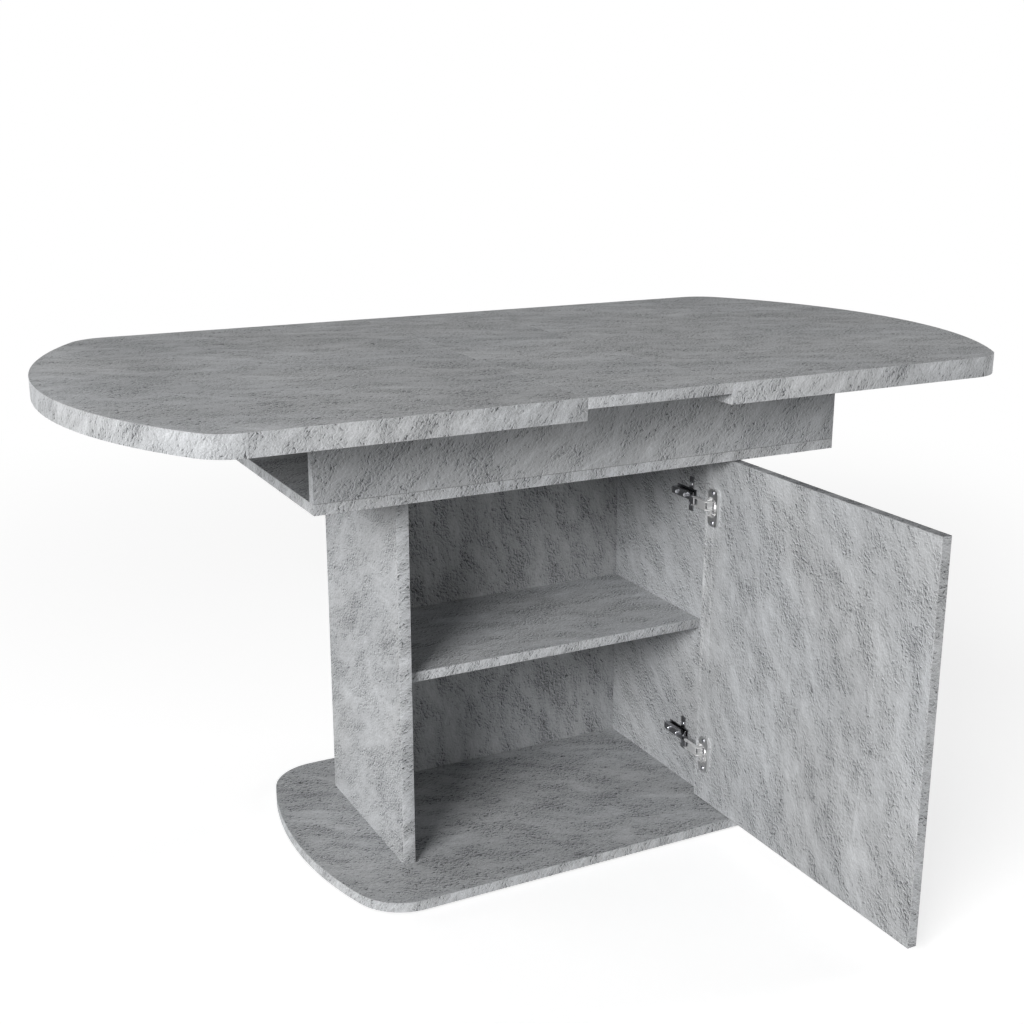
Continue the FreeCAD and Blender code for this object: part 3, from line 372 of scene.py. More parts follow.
# Light grey at the bands' arrises: partly wear, partly a painted highlight.
BAND_ARRIS_WEAR_AND_HIGHLIGHT = 215
# Between which rises of a band's normal it goes over to its top tone, which is painted shade.
UPWARD_SHADE_SPAN = (0.5, 0.9)
PRINT_ARRIS_REACH = 0.0012

METAL_ARRIS_REACH = 0.0006
METAL_RUB = 0.25
METAL_WORN = (0.9, 0.9, 0.9, 1.0)
METAL_DEPTH = 0.00004
METAL_BUMP = 0.6

PLAIN_ARRIS_REACH = 0.0008
PLAIN_RUB = 0.4
PLAIN_CLOSE_SCALE = 9.0
PLAIN_BROAD_SHARE = 0.65
PLAIN_ROUGH_SPREAD = 0.08
PLAIN_SPAN = (0.35, 0.65)
PLAIN_ROUGH_SPAN = (0.3, 0.7)
# Worn nylon, felt and wood: their dark shade times the one, plus the other.
PLAIN_LIFT = 1.5
PLAIN_LEAST_LIFT = 0.02


def new_material(name):
    material = bpy.data.materials.new(name)
    material.use_nodes = True
    tree = Tree(material.node_tree)
    shader = material.node_tree.nodes["Principled BSDF"]
    return material, tree, shader


def turned_place(tree, turn, shift=(0.0, 0.0, 0.0)):
    """The piece's own place, turned and then shifted."""
    place = tree.add("ShaderNodeTexCoord").outputs["Object"]
    return tree.add("ShaderNodeMapping", {"Vector": place, "Rotation": turn, "Location": shift}).outputs[0]


def arris_wear_highlight_shade(tree, reach, share, colour, wear_and_painted_light):
    """A colour that goes over to another colour, by a share, along the piece's outer edges; on boards and
    bands a lighter one is partly wear and partly a painted highlight, a darker one painted shade.
    """
    mask = tree.group(ARRIS, Reach=reach).outputs["Mask"]
    return tree.mix(tree.math("MULTIPLY", mask, share), colour, wear_and_painted_light)


def bump(tree, shader, height, distance, strength=1.0):
    node = tree.add("ShaderNodeBump", {"Height": height, "Distance": distance, "Strength": strength})
    tree.set(shader.inputs["Normal"], node.outputs[0])


def board_material(name, facing, turn=0.0, tone=0.0, patch=1.0, relief=1.0, speck=1.0, wear_and_light_share=0.5, wear_and_painted_light=205):
    """Concrete-look melamine, each board cut from another place of the sheet; its arrises go over to
    another grey, lighter as wear and painted highlight, or darker as painted shade.
    """
    cut = next(cut_numbers)
    material, tree, shader = new_material(name)
    turned = FACING[facing][:2] + (FACING[facing][2] + math.radians(turn),)
    place = turned_place(tree, turned, (SHEET_STEP[0] * cut, SHEET_STEP[1] * cut, 0.0))
    look = tree.group(PRINT, Place=place, Patch=patch, Relief=relief, Speck=speck, Tone=tone).outputs
    # Lighter arrises are partly wear and partly a painted highlight; a dark grey here is painted shade.
    colour = arris_wear_highlight_shade(tree, PRINT_ARRIS_REACH, wear_and_light_share, look["Color"], grey(wear_and_painted_light))
    tree.set(shader.inputs["Base Color"], colour)
    tree.set(shader.inputs["Roughness"], look["Roughness"])
    shader.inputs["Specular IOR Level"].default_value = BOARD_SPECULAR
    bump(tree, shader, look["Height"], BOARD_DEPTH, BOARD_BUMP)
    return material


def band_material(name, tone=0.0, upward_painted_shade=None, wear_and_light_share=0.25):
    """Edge band with the print along its own run; faces that look up may be given another tone, which is
    painted shade; its arrises are lighter, partly wear and partly a painted highlight.
    """
    material, tree, shader = new_material(name)
    run = tree.add("ShaderNodeUVMap", uv_map="run").outputs[0]
    place = tree.add("ShaderNodeMapping", {"Vector": run, "Rotation": BAND_TURN}).outputs[0]
    # Faces that look up go over to their own tone: painted shade, darkening the door band's top edge.
    if upward_painted_shade is not None:
        flat = tree.add("ShaderNodeNewGeometry").outputs["Normal"]
        rise = tree.add("ShaderNodeSeparateXYZ", {0: flat}).outputs["Z"]
        tone = tree.ramp(rise, *UPWARD_SHADE_SPAN, tone, upward_painted_shade)
    look = tree.group(PRINT, Place=place, Cloud=0.5, Patch=1.4, Relief=0.6, Speck=1.6, Tone=tone).outputs
    # The bands' lighter arrises are partly wear and partly a painted highlight.
    colour = arris_wear_highlight_shade(tree, PRINT_ARRIS_REACH, wear_and_light_share, look["Color"], grey(BAND_ARRIS_WEAR_AND_HIGHLIGHT))
    tree.set(shader.inputs["Base Color"], colour)
    tree.set(shader.inputs["Roughness"], look["Roughness"])
    shader.inputs["Specular IOR Level"].default_value = BAND_SPECULAR
    bump(tree, shader, look["Height"], BAND_DEPTH, BAND_BUMP)
    return material


def metal_material(name, shade, rough, lines, spread, turn=(0.0, 0.0, 0.0)):
    """Drawn and plated metal, brighter along its arrises; the drawing lines run along X before the turn."""
    material, tree, shader = new_material(name)
    place = turned_place(tree, turn)
    look = tree.group(METAL, Place=place, Lines=lines, Rough=rough, Spread=spread).outputs
    colour = arris_wear_highlight_shade(tree, METAL_ARRIS_REACH, METAL_RUB, (*shade, 1.0), METAL_WORN)
    drawn = tree.add("ShaderNodeCombineColor", {channel: look["Shade"] for channel in range(3)}).outputs[0]
    tree.set(shader.inputs["Base Color"], tree.mix(1.0, colour, drawn, "MULTIPLY"))
    tree.set(shader.inputs["Roughness"], look["Roughness"])
    shader.inputs["Metallic"].default_value = 1.0
    bump(tree, shader, look["Height"], METAL_DEPTH, METAL_BUMP)
    return material


def plain_material(name, dark, light, scale, rough, depth, stretch=(1.0, 1.0, 1.0)):
    """Nylon, felt and wood: two shades mixed by a noise that follows the material's own structure."""
    material, tree, shader = new_material(name)
    place = tree.vector("MULTIPLY", tree.add("ShaderNodeTexCoord").outputs["Object"], stretch)
    broad = tree.noise(place, scale, 4.0, 0.65, 0.4).outputs[0]
    close = tree.noise(place, scale * PLAIN_CLOSE_SCALE, 2.0, 0.6).outputs[0]
    broad_part = tree.math("MULTIPLY", broad, PLAIN_BROAD_SHARE)
    close_part = tree.math("MULTIPLY", close, 1.0 - PLAIN_BROAD_SHARE)
    level = tree.math("ADD", broad_part, close_part)
    colour = tree.mix(tree.ramp(level, *PLAIN_SPAN), (*dark, 1.0), (*light, 1.0))
    wear_and_painted_light = tuple(min(1.0, PLAIN_LIFT * channel + PLAIN_LEAST_LIFT) for channel in dark)
    tree.set(shader.inputs["Base Color"], arris_wear_highlight_shade(tree, PLAIN_ARRIS_REACH, PLAIN_RUB, colour, (*wear_and_painted_light, 1.0)))
    least, most = rough - PLAIN_ROUGH_SPREAD, rough + PLAIN_ROUGH_SPREAD
    tree.set(shader.inputs["Roughness"], tree.ramp(level, *PLAIN_ROUGH_SPAN, least, most))
    bump(tree, shader, level, depth)
    return material


# The nickel's colour is darker than the metal's own: a painted dark reflection on the hinge arms, plates
# and pins.
NICKEL = metal_material("nickel_plated_steel", (0.36, 0.36, 0.37), rough=0.13, lines=0.4, spread=0.1)
LINK = metal_material("matt_nickel", (0.95, 0.95, 0.95), rough=0.62, lines=0.5, spread=0.1)
SATIN = metal_material("satin_nickel", (0.86, 0.86, 0.86), rough=0.42, lines=0.6, spread=0.1,
                       turn=(0.0, QUARTER_TURN, 0.0))
ZINC = metal_material("zinc_plated_steel", (0.60, 0.61, 0.64), rough=0.28, lines=0.3, spread=0.2)
ALUMINIUM = metal_material("mill_aluminium", (0.58, 0.59, 0.60), rough=0.42, lines=1.4, spread=0.1)

NYLON = plain_material("black_nylon", (0.016, 0.016, 0.017), (0.028, 0.028, 0.029), scale=500.0, rough=0.5,
                       depth=0.00005)
FELT = plain_material("grey_felt", (0.045, 0.043, 0.040), (0.10, 0.095, 0.09), scale=1400.0, rough=0.92,
                      depth=0.0004)
PINE_ACROSS = plain_material("planed_pine_across", (0.60, 0.44, 0.26), (0.74, 0.58, 0.38), scale=40.0,
                             rough=0.62, depth=0.0002, stretch=(1.0, 0.06, 1.0))
PINE_ALONG = plain_material("planed_pine_rail", (0.58, 0.43, 0.25), (0.73, 0.57, 0.37), scale=45.0,
                            rough=0.62, depth=0.0002, stretch=(1.0, 0.06, 0.8))

BAND = band_material("edge_band_light", tone=0.06)
# The table top's band is lighter along its arrises than the others: partly wear, partly a painted highlight
# along the top's edge.
BAND_THICK = band_material("edge_band_top", tone=0.06, wear_and_light_share=0.4)
# The door band's top edge is darker than its sides: painted shade.
BAND_DOOR_SHADED_TOP = band_material("edge_band_door", tone=0.06, upward_painted_shade=-0.2)

TOP_LEFT = board_material("board_top_left", "flat", 15.0, tone=0.005, patch=0.75, relief=0.85, speck=2.2)
TOP_RIGHT = board_material("board_top_right", "flat", 13.0, tone=0.025, patch=0.75, relief=0.85, speck=2.2)
TOP_LEAF = board_material("board_leaf", "flat", 16.0, tone=0.025, patch=0.75, relief=0.85, speck=2.2)
BASE = board_material("board_base", "flat", 24.0, tone=-0.09, relief=0.7, speck=1.8)
SHELF = board_material("board_shelf", "flat", 8.0, tone=0.03)
SIDE_LEFT = board_material("board_side_left", "side", 60.0, tone=-0.03, relief=0.7, speck=0.8)
SIDE_RIGHT = board_material("board_side_right", "side", -40.0, relief=0.85)
DOOR = board_material("board_door", "side", -24.0, tone=0.03, patch=1.1, relief=0.85)
# The back panel's grey is lowered: painted shade of the cabinet's inside, which also darkens its outer
# face.
BACK = board_material("board_back", "front_high", -12.0, tone=-0.15, relief=0.6)
# The two apron boards' arrises go over to a dark grey: painted shade in their joints, such as the one with
# the box floor.
APRON = board_material("board_apron", "front_long", -52.0, tone=0.01, relief=0.65, wear_and_light_share=0.9, wear_and_painted_light=70)
APRON_BACK = board_material("board_apron_back", "front_long", -49.0, relief=0.65, wear_and_light_share=0.9, wear_and_painted_light=70)
# The box floor's grey is lowered: painted shade of the box's inside.
FLOOR = board_material("board_box_floor", "flat", 5.0, tone=-0.15)
DOUBLING = board_material("board_doubling", "flat", 3.0)

BANDS = (BAND, BAND_THICK, BAND_DOOR_SHADED_TOP)
METALS = (NICKEL, SATIN, LINK, ALUMINIUM, ZINC)
MOULDED = (NYLON, FELT)

FINISH = {
    "left_top_board": TOP_LEFT, "right_top_board": TOP_RIGHT, "extension_leaf": TOP_LEAF,
    "left_top_front_strip": DOUBLING, "left_top_back_strip": DOUBLING, "left_top_end_block": DOUBLING,
    "right_top_front_strip": DOUBLING, "right_top_back_strip": DOUBLING, "right_top_end_block": DOUBLING,
    "left_top_edge_band": BAND_THICK, "right_top_edge_band": BAND_THICK, "leaf_edge_bands": BAND,
    "box_front_panel": APRON, "box_back_panel": APRON_BACK, "box_floor": FLOOR,
    "box_panel_end_bands": BAND, "box_floor_edge_band": BAND,
    "left_side_panel": SIDE_LEFT, "right_side_panel": SIDE_RIGHT, "back_panel": BACK, "shelf": SHELF,
    "cabinet_edge_bands": BAND, "door_panel": DOOR, "door_edge_band": BAND_DOOR_SHADED_TOP,
    "base_plate": BASE, "base_edge_band": BAND,
    "left_cross_rail": PINE_ALONG, "right_cross_rail": PINE_ALONG, "leaf_cleats": PINE_ACROSS,
    "front_guide_rail": ALUMINIUM, "back_guide_rail": ALUMINIUM,
    "left_front_runner": ALUMINIUM, "left_back_runner": ALUMINIUM,
    "right_front_runner": ALUMINIUM, "right_back_runner": ALUMINIUM,
    "guide_rail_stops": NYLON, "left_glide_shoes": NYLON, "right_glide_shoes": NYLON,
    "floor_glides": FELT, "leaf_rest_pads": FELT, "shelf_pins": ZINC,
    "upper_hinge_cup": SATIN, "lower_hinge_cup": SATIN,
    "upper_hinge_arm": NICKEL, "lower_hinge_arm": NICKEL,
    "upper_mounting_plate": NICKEL, "lower_mounting_plate": NICKEL,
    "upper_hinge_link": LINK, "lower_hinge_link": LINK,
    "hinge_cup_pins": NICKEL, "hinge_nose_pins": NICKEL,
}


# ---------------------------------------------------------------- pieces made from the frame's own shapes
WELD = 0.002 * MM
FLAT_FOLD = math.radians(0.3)
SHARP_FOLD = 0.6
SMOOTH_FOLD = math.radians(22)
ARRIS_WIDTH = {"board": 0.3 * MM, "band": 0.35 * MM, "steel": 0.25 * MM, "moulded": 0.4 * MM}
APRON_ARRIS = 1.1 * MM
# Edges of boards and bands that are no longer than this stay as they are.
SHORTEST_EASED = 4 * MM
# A band whose second largest size is under this is straight, and a larger one goes round its board.
STRAIGHT_BAND = 100 * MM


def merged(name):
    """The node's mesh with its loose triangles joined and its flat faces made whole."""
    shape = bmesh.new()
    shape.from_mesh(NODES[name].data)
    bmesh.ops.remove_doubles(shape, verts=shape.verts, dist=WELD)
    bmesh.ops.dissolve_limit(shape, angle_limit=FLAT_FOLD, verts=shape.verts, edges=shape.edges)
    return shape


def islands(shape):
    """The separate solids of a mesh, each as a list of vertices, found in the same order on every run."""
    found, seen = [], set()
    for first in shape.verts:
        if first in seen:
            continue
        seen.add(first)
        island = [first]
        for vertex in island:
            for edge in vertex.link_edges:
                other = edge.other_vert(vertex)
                if other not in seen:
                    seen.add(other)
                    island.append(other)
        found.append(island)
    return found


def span(vertices):
    """Lowest and highest corners of some vertices."""
    low = Vector(min(v.co[i] for v in vertices) for i in range(3))
    high = Vector(max(v.co[i] for v in vertices) for i in range(3))
    return low, high


def turn_about(point, middle, axes):
    """Angle of a point about the middle of its ring."""
    return math.atan2(point[axes[1]] - middle[axes[1]], point[axes[0]] - middle[axes[0]])


def ring_lengths(island, middle, axes):
    """Length round a closed band at the turn of each of its corners, and the whole length."""
    corners = sorted((turn_about(v.co, middle, axes), v.co[axes[0]], v.co[axes[1]]) for v in island)
    lengths, total = [], 0.0
    for last, corner in zip(corners, corners[1:]):
        lengths.append((last[0], total))
        total += math.dist(last[1:], corner[1:])
    lengths.append((corners[-1][0], total))
    return lengths, total + math.dist(corners[-1][1:], corners[0][1:])


def length_at(lengths, total, turn):
    """Length round a closed band at a turn, also past where the turn starts again."""
    laps = math.floor((turn + math.pi) / (2 * math.pi))
    place = bisect.bisect_left(lengths, (turn - laps * 2 * math.pi - 1e-6,))
    return lengths[min(place, len(lengths) - 1)][1] + laps * total


def add_run(shape):
    """A map for bands: U is the length along the band, V its width, both in metres."""
    layer = shape.loops.layers.uv.new("run")
    for island in islands(shape):
        low, high = span(island)
        width, middling, longest = sorted(range(3), key=lambda axis: high[axis] - low[axis])
        faces = {face for vertex in island for face in vertex.link_faces}
        if (high - low)[middling] < STRAIGHT_BAND:
            run_straight(faces, layer, longest, middling)
        else:
            run_round(faces, layer, island, sorted((middling, longest)), width)


def run_straight(faces, layer, along, across):
    for face in faces:
        for loop in face.loops:
            loop[layer].uv = (loop.vert.co[along], loop.vert.co[across])


def run_round(faces, layer, island, axes, across):
    low, high = span(island)
    middle = (low + high) / 2
    lengths, total = ring_lengths(island, middle, axes)
    for face in faces:
        centre = turn_about(face.calc_center_median(), middle, axes)
        for loop in face.loops:
            turn = turn_about(loop.vert.co, middle, axes)
            turn += 2 * math.pi * round((centre - turn) / (2 * math.pi))
            loop[layer].uv = (length_at(lengths, total, turn), loop.vert.co[across])


def smooth_mesh(shape, name, fold):
    """The shape as a mesh, shaded smooth but for folds sharper than the given one."""
    mesh = bpy.data.meshes.new(name)
    shape.to_mesh(mesh)
    shape.free()
    for face in mesh.polygons:
        face.use_smooth = True
    mesh.set_sharp_from_angle(angle=fold)
    return mesh


def ease_edges(shape, width, shortest):
    """Round the sharp edges that are longer than the shortest one to ease."""
    sharp = [edge for edge in shape.edges
             if len(edge.link_faces) == 2 and edge.calc_face_angle(0.0) > SHARP_FOLD
             and edge.calc_length() > shortest]
    bmesh.ops.bevel(shape, geom=sharp, offset=width, offset_type="OFFSET", segments=2, profile=0.5,
                    affect="EDGES", clamp_overlap=shortest == 0)


def stand_in(mesh, node, material):
    """Hand a mesh over in place of its node, on the node's body and slot."""
    piece = bpy.data.objects.new("looks_" + node, mesh)
    bpy.context.scene.collection.objects.link(piece)
    mesh.materials.clear()
    mesh.materials.append(material)
    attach(piece, BODY_OF[node])
    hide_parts(node)


def kind_of(material):
    if material in BANDS:
        return "band"
    if material in METALS:
        return "steel"
    return "moulded" if material in MOULDED else "board"


def dress_boards_and_fittings():
    for node, material in FINISH.items():
        kind = kind_of(material)
        shape = merged(node)
        if kind == "band":
            add_run(shape)
        arris = APRON_ARRIS if material in (APRON, APRON_BACK) else ARRIS_WIDTH[kind]
        ease_edges(shape, arris, SHORTEST_EASED if kind in ("board", "band") else 0.0)
        stand_in(smooth_mesh(shape, "looks_" + node, SMOOTH_FOLD), node, material)


# ---------------------------------------------------------------- screws
# A kind's sizes are millimetres, as are a pattern's before it is scaled.
ScrewKind = namedtuple("ScrewKind", "head head_height shank pitch sunk")
CAD_SCREWS = {
    "carcass_screws": ScrewKind(head=10.0, head_height=2.0, shank=5.0, pitch=2.4, sunk=False),
    "hinge_cup_screws": ScrewKind(head=7.0, head_height=1.5, shank=3.5, pitch=1.6, sunk=False),
    "hinge_plate_screws": ScrewKind(head=8.0, head_height=1.5, shank=5.0, pitch=2.0, sunk=False),
    "hinge_adjusting_screws": ScrewKind(head=7.5, head_height=1.5, shank=4.0, pitch=0.8, sunk=False),
}
RAIL_SCREW = ScrewKind(head=6.5, head_height=2.0, shank=3.5, pitch=1.6, sunk=True)
RUNNER_SCREW = ScrewKind(head=7.0, head_height=1.6, shank=3.5, pitch=1.6, sunk=False)
CLEAT_SCREW = ScrewKind(head=7.5, head_height=1.8, shank=4.0, pitch=1.8, sunk=False)
RAIL_SCREW_LENGTH = 14.0
RUNNER_SCREW_LENGTH = 15.0
CLEAT_SCREW_LENGTH = 30.0

SCREW_SIDES = 16
SCREW_FOLD = math.radians(35)
# Outlines of the heads, as shares of their radius and height, from the crown down.
SUNK_HEAD = ((0, 0), (0.7, 0), (0.94, 0), (1, 0.12))
ROUND_HEAD = ((0, 0), (0.66, 0), (0.9, 0.22), (1, 0.55), (1, 1))
# The thread's root is a share of the shank, its crest and foot are shares of the pitch.
THREAD_ROOT = 0.38
THREAD_CREST = 0.35
THREAD_FOOT = 0.7
PLAIN_NECK = 0.8
# The driver recess, as shares of the head's radius and height.
RECESS_REACH = 0.42
RECESS_HALF_WIDTH = 0.1
RECESS_DEPTH = 0.55
RECESS_TAPER = 0.7

# Corners of a solid nearer than this along its axis count as one end.
SAME_LEVEL = 0.02 * MM

# Walls of rails and runners, and where the hidden screws stand on their pieces.
RAIL_WALL = 2.5 * MM
RUNNER_WALL = 3.0 * MM
FLANGE_LINE = 10.0 * MM
CLEAT_LINE = 80.0 * MM
PROUD = 0.15 * MM
RAIL_INSET = 30 * MM
RUNNER_INSET = 25 * MM
CLEAT_INSET = 25 * MM
SCREWS_PER_RAIL = 5
SCREWS_PER_RUNNER = 5
SCREWS_PER_CLEAT = 4


def turned_part(profile, sides):
    """A closed turned shape from (radius, height) points, the first and last on the axis."""
    shape = bmesh.new()
    turns = [2 * math.pi * k / sides for k in range(sides)]
    rings = []
    for radius, height in profile:
        points = [(radius * math.cos(turn), radius * math.sin(turn), height) for turn in turns]
        if radius == 0:
            points = [(0, 0, height)]
        rings.append([shape.verts.new(point) for point in points])
    for upper, lower in zip(rings, rings[1:]):
        for k in range(sides):
            after = (k + 1) % sides
            if len(upper) == 1:
                shape.faces.new((upper[0], lower[k], lower[after]))
            elif len(lower) == 1:
                shape.faces.new((upper[k], lower[0], upper[after]))
            else:
                shape.faces.new((upper[k], lower[k], lower[after], upper[after]))
    return shape


def cross_recess(shape, reach, half_width, depth):
    """Replace the crown of a head by one with a cross-shaped driver recess."""
    crown = [v for v in shape.verts if v.co.length < 1e-9]
    bmesh.ops.delete(shape, geom=crown, context="VERTS")
    rim = [edge for edge in shape.edges if len(edge.link_faces) == 1]
    outline = []
    for quarter in range(4):
        turn = Matrix.Rotation(QUARTER_TURN * quarter, 3, "Z")
        corners = ((reach, -half_width, 0), (reach, half_width, 0), (half_width, half_width, 0))
        outline += [turn @ Vector(corner) for corner in corners]
    ring = [shape.verts.new(point) for point in outline]
    following = ring[1:] + ring[:1]
    mouth = [shape.edges.new(pair) for pair in zip(ring, following)]
    bmesh.ops.triangle_fill(shape, edges=rim + mouth, use_beauty=True)
    floor = [shape.verts.new((v.co.x * RECESS_TAPER, v.co.y * RECESS_TAPER, -depth)) for v in ring]
    following_floor = floor[1:] + floor[:1]
    for wall in zip(ring, following, following_floor, floor):
        shape.faces.new(wall)
    shape.faces.new(floor)


def screw_pattern(name, kind, length):
    """Screw with a cross recess, its crown at zero and its point downwards."""
    radius, bore, root = kind.head / 2, kind.shank / 2, THREAD_ROOT * kind.shank
    outline = SUNK_HEAD if kind.sunk else ROUND_HEAD
    profile = [(across * radius, -down * kind.head_height) for across, down in outline]
    profile.append((bore, -kind.head_height))
    height = -kind.head_height - PLAIN_NECK
    while height > -length + kind.shank:
        crest, foot = height - kind.pitch * THREAD_CREST, height - kind.pitch * THREAD_FOOT
        profile += [(root, height), (bore, crest), (root, foot)]
        height -= kind.pitch
    profile += [(root, -length + kind.shank), (0, -length)]
    shape = turned_part(profile, SCREW_SIDES)
    cross_recess(shape, RECESS_REACH * radius, RECESS_HALF_WIDTH * radius, RECESS_DEPTH * kind.head_height)
    bmesh.ops.recalc_face_normals(shape, faces=shape.faces)
    bmesh.ops.scale(shape, vec=(MM, MM, MM), verts=shape.verts)
    return smooth_mesh(shape, name, SCREW_FOLD)


def screw_tree():
    """One fastener at every point, its head along the point's aim, each stopped at another angle."""
    tree = bpy.data.node_groups.new("set_screws", "GeometryNodeTree")
    interface = tree.interface
    interface.new_socket("Geometry", in_out="INPUT", socket_type="NodeSocketGeometry")
    interface.new_socket("Fastener", in_out="INPUT", socket_type="NodeSocketObject")
    interface.new_socket("Largest Turn", in_out="INPUT", socket_type="NodeSocketFloat")
    interface.new_socket("Seed", in_out="INPUT", socket_type="NodeSocketInt")
    interface.new_socket("Material", in_out="INPUT", socket_type="NodeSocketMaterial")
    interface.new_socket("Geometry", in_out="OUTPUT", socket_type="NodeSocketGeometry")
    nodes = Tree(tree)
    entry = tree.nodes.new("NodeGroupInput").outputs
    fastener = nodes.add("GeometryNodeObjectInfo", {"Object": entry["Fastener"]},
                         transform_space="ORIGINAL")
    aim = nodes.add("GeometryNodeInputNamedAttribute", {"Name": "aim"}, data_type="FLOAT_VECTOR")
    stand = nodes.add("FunctionNodeAlignRotationToVector", {"Vector": aim.outputs[0]}, axis="Z")
    spin = nodes.add("FunctionNodeRandomValue", {"Max": entry["Largest Turn"], "Seed": entry["Seed"]},
                     data_type="FLOAT")
    turn = nodes.add("FunctionNodeAxisAngleToRotation",
                     {"Axis": (0.0, 0.0, 1.0), "Angle": spin.outputs["Value"]})
    both = nodes.add("FunctionNodeRotateRotation", {0: stand.outputs[0], 1: turn.outputs[0]},
                     rotation_space="LOCAL")
    placed = nodes.add("GeometryNodeInstanceOnPoints",
                       {"Points": entry["Geometry"], "Instance": fastener.outputs["Geometry"],
                        "Rotation": both.outputs[0]})
    real = nodes.add("GeometryNodeRealizeInstances", {"Geometry": placed.outputs[0]})
    dressed = nodes.add("GeometryNodeSetMaterial",
                        {"Geometry": real.outputs[0], "Material": entry["Material"]})
    leave = tree.nodes.new("NodeGroupOutput")
    tree.links.new(dressed.outputs[0], leave.inputs[0])
    return tree


SCREW_TREE = screw_tree()


def width_at(island, middle, axis, level):
    """Half the width of a screw's solid at a level along its axis."""
    near = [v.co - middle for v in island if abs(v.co[axis] - level) < SAME_LEVEL]
    return max(math.hypot(*(point[i] for i in range(3) if i != axis)) for point in near)


def screw_places(node):
    """Crown and aim of every screw of a node, and its length, read from the solids: the head is wider."""
    shape = merged(node)
    places = []
    for island in islands(shape):
        low, high = span(island)
        axis = max(range(3), key=lambda i: high[i] - low[i])
        middle = (low + high) / 2
        high_width = width_at(island, middle, axis, high[axis])
        head_is_high = high_width > width_at(island, middle, axis, low[axis])
        crown = middle.copy()
        crown[axis] = high[axis] if head_is_high else low[axis]
        aim = Vector((0.0, 0.0, 0.0))
        aim[axis] = 1.0 if head_is_high else -1.0
        places.append((crown, aim))
        length = (high[axis] - low[axis]) / MM
    shape.free()
    return places, length


def set_screws(name, places, length, kind, seed):
    """Set one screw pattern at every place; gives one plain mesh."""
    pattern = bpy.data.objects.new("pattern_" + name, screw_pattern("pattern_" + name, kind, length))
    points = bpy.data.meshes.new("points_" + name)
    points.from_pydata([crown for crown, _ in places], [], [])
    attribute = points.attributes.new("aim", "FLOAT_VECTOR", "POINT")
    attribute.data.foreach_set("vector", [value for _, aim in places for value in aim])
    holder = bpy.data.objects.new("holder_" + name, points)
    bpy.context.scene.collection.objects.link(holder)
    bpy.context.scene.collection.objects.link(pattern)
    modifier = holder.modifiers.new("screws", "NODES")
    modifier.node_group = SCREW_TREE
    sockets = {item.name: item.identifier for item in SCREW_TREE.interface.items_tree
               if item.in_out == "INPUT"}
    modifier[sockets["Fastener"]] = pattern
    modifier[sockets["Largest Turn"]] = 2 * math.pi
    modifier[sockets["Seed"]] = seed
    modifier[sockets["Material"]] = ZINC
    depsgraph = bpy.context.evaluated_depsgraph_get()
    mesh = bpy.data.meshes.new_from_object(holder.evaluated_get(depsgraph), depsgraph=depsgraph)
    holder.modifiers.remove(modifier)
    bpy.data.objects.remove(holder)
    bpy.data.objects.remove(pattern)
    mesh.name = "looks_" + name
    return mesh


def spread(low, high, inset, count):
    """Places evenly spread between two ends, an inset from each."""
    step = (high - low - 2 * inset) / (count - 1)
    return [low + inset + k * step for k in range(count)]


def rail_screw_places():
    """Sunk screws through the webs of the guide rails into the box panels."""
    places = []
    for rail, inward in (("front_guide_rail", 1), ("back_guide_rail", -1)):
        low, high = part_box(rail)
        web = low[1] + RAIL_WALL if inward > 0 else high[1] - RAIL_WALL
        middle = (low[2] + high[2]) / 2
        for x in spread(low[0], high[0], RAIL_INSET, SCREWS_PER_RAIL):
            places.append((Vector((x, web + inward * PROUD, middle)), Vector((0, inward, 0))))
    return places


def runner_screw_places(side):
    """Screws up through the flanges of a half's two runners into its board."""
    places = []
    for runner, inward in ((f"{side}_front_runner", 1), (f"{side}_back_runner", -1)):
        low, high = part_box(runner)
        line = high[1] - FLANGE_LINE if inward > 0 else low[1] + FLANGE_LINE
        crown_height = high[2] - RUNNER_WALL - RUNNER_SCREW.head_height * MM
        for x in spread(low[0], high[0], RUNNER_INSET, SCREWS_PER_RUNNER):
            places.append((Vector((x, line, crown_height)), Vector((0, 0, -1))))
    return places


def cleat_screw_places():
    """Screws up through the cleats into the leaf."""
    low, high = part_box("leaf_cleats")
    crown_height = low[2] - CLEAT_SCREW.head_height * MM
    return [(Vector((x, y, crown_height)), Vector((0, 0, -1)))
            for x in (-CLEAT_LINE, CLEAT_LINE)
            for y in spread(low[1], high[1], CLEAT_INSET, SCREWS_PER_CLEAT)]


def add_screws(name, carrier, places, length, kind, seed):
    """Screws that no node stands for, on the body of the piece that carries them."""
    piece = bpy.data.objects.new(name, set_screws(name, places, length, kind, seed))
    bpy.context.scene.collection.objects.link(piece)
    piece.data.materials.clear()
    piece.data.materials.append(ZINC)
    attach(piece, BODY_OF[carrier])


def dress_screws():
    seeds = itertools.count()
    for node, kind in CAD_SCREWS.items():
        places, length = screw_places(node)
        stand_in(set_screws(node, places, length, kind, next(seeds)), node, ZINC)
    add_screws("rail_screws", "front_guide_rail", rail_screw_places(), RAIL_SCREW_LENGTH, RAIL_SCREW,
               next(seeds))
    for side in ("left", "right"):
        add_screws(f"{side}_flange_screws", f"{side}_front_runner", runner_screw_places(side),
                   RUNNER_SCREW_LENGTH, RUNNER_SCREW, next(seeds))
    add_screws("cleat_screws", "leaf_cleats", cleat_screw_places(), CLEAT_SCREW_LENGTH, CLEAT_SCREW,
               next(seeds))


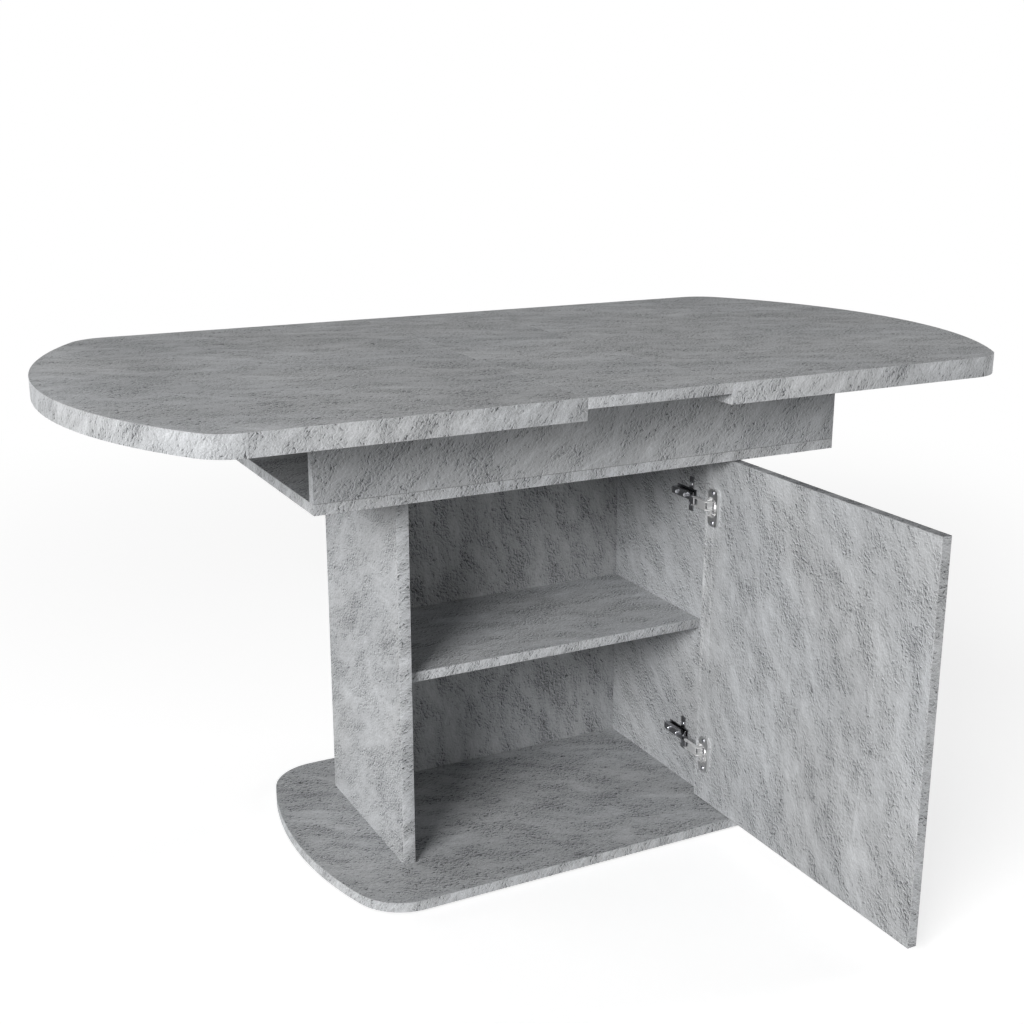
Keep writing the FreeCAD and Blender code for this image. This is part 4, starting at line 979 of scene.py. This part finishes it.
# ---------------------------------------------------------------- the studio
FLOOR_REACH = 14.0
FLOOR_SHADED_TO = 1.3
FLOOR_WHITE_FROM = 3.2
FLOOR_SHADE = (0.55, 0.55, 0.55, 1.0)
FLOOR_GLOW = 0.66
BLACK = (0.0, 0.0, 0.0, 1.0)
WHITE = (1.0, 1.0, 1.0, 1.0)
ROOM_LIGHT = 0.05


def seen_rays(tree):
    """One for rays that show the surroundings, zero for those that only light the object."""
    path = tree.add("ShaderNodeLightPath").outputs
    seen = tree.math("MAXIMUM", path["Is Camera Ray"], path["Is Glossy Ray"])
    return tree.math("MAXIMUM", seen, path["Is Transmission Ray"])


def make_floor():
    """A pale floor that takes the table's shadow near it and goes over to plain white further out."""
    reach = FLOOR_REACH
    corners = [(-reach, -reach, 0), (reach, -reach, 0), (reach, reach, 0), (-reach, reach, 0)]
    mesh = bpy.data.meshes.new("studio_floor")
    mesh.from_pydata(corners, [], [(0, 1, 2, 3)])
    floor = bpy.data.objects.new("studio_floor", mesh)
    bpy.context.scene.collection.objects.link(floor)
    material, tree, shader = new_material("studio_floor")
    place = tree.add("ShaderNodeTexCoord").outputs["Object"]
    distance = tree.add("ShaderNodeVectorMath", {0: place}, operation="LENGTH").outputs["Value"]
    near = tree.ramp(distance, FLOOR_WHITE_FROM, FLOOR_SHADED_TO)
    tree.set(shader.inputs["Base Color"], tree.mix(near, BLACK, FLOOR_SHADE))
    shader.inputs["Roughness"].default_value = 1.0
    shader.inputs["Specular IOR Level"].default_value = 0.0
    shader.inputs["Emission Color"].default_value = WHITE
    glow = tree.ramp(near, 0.0, 1.0, 1.0, FLOOR_GLOW, steps="LINEAR")
    tree.set(shader.inputs["Emission Strength"], tree.math("MULTIPLY", seen_rays(tree), glow))
    mesh.materials.append(material)


def make_surroundings():
    """White where it is seen, with little light of its own."""
    world = bpy.data.worlds.new("studio")
    bpy.context.scene.world = world
    world.use_nodes = True
    tree = Tree(world.node_tree)
    background = world.node_tree.nodes["Background"]
    strength = tree.math("MULTIPLY_ADD", seen_rays(tree), 1.0 - ROOM_LIGHT, ROOM_LIGHT)
    tree.set(background.inputs["Strength"], strength)
    background.inputs["Color"].default_value = WHITE


make_camera()
make_floor()
make_surroundings()
for soft_box in SOFT_BOXES:
    make_lamp(soft_box)
bpy.context.scene.view_settings.view_transform = "Standard"
dress_boards_and_fittings()
dress_screws()
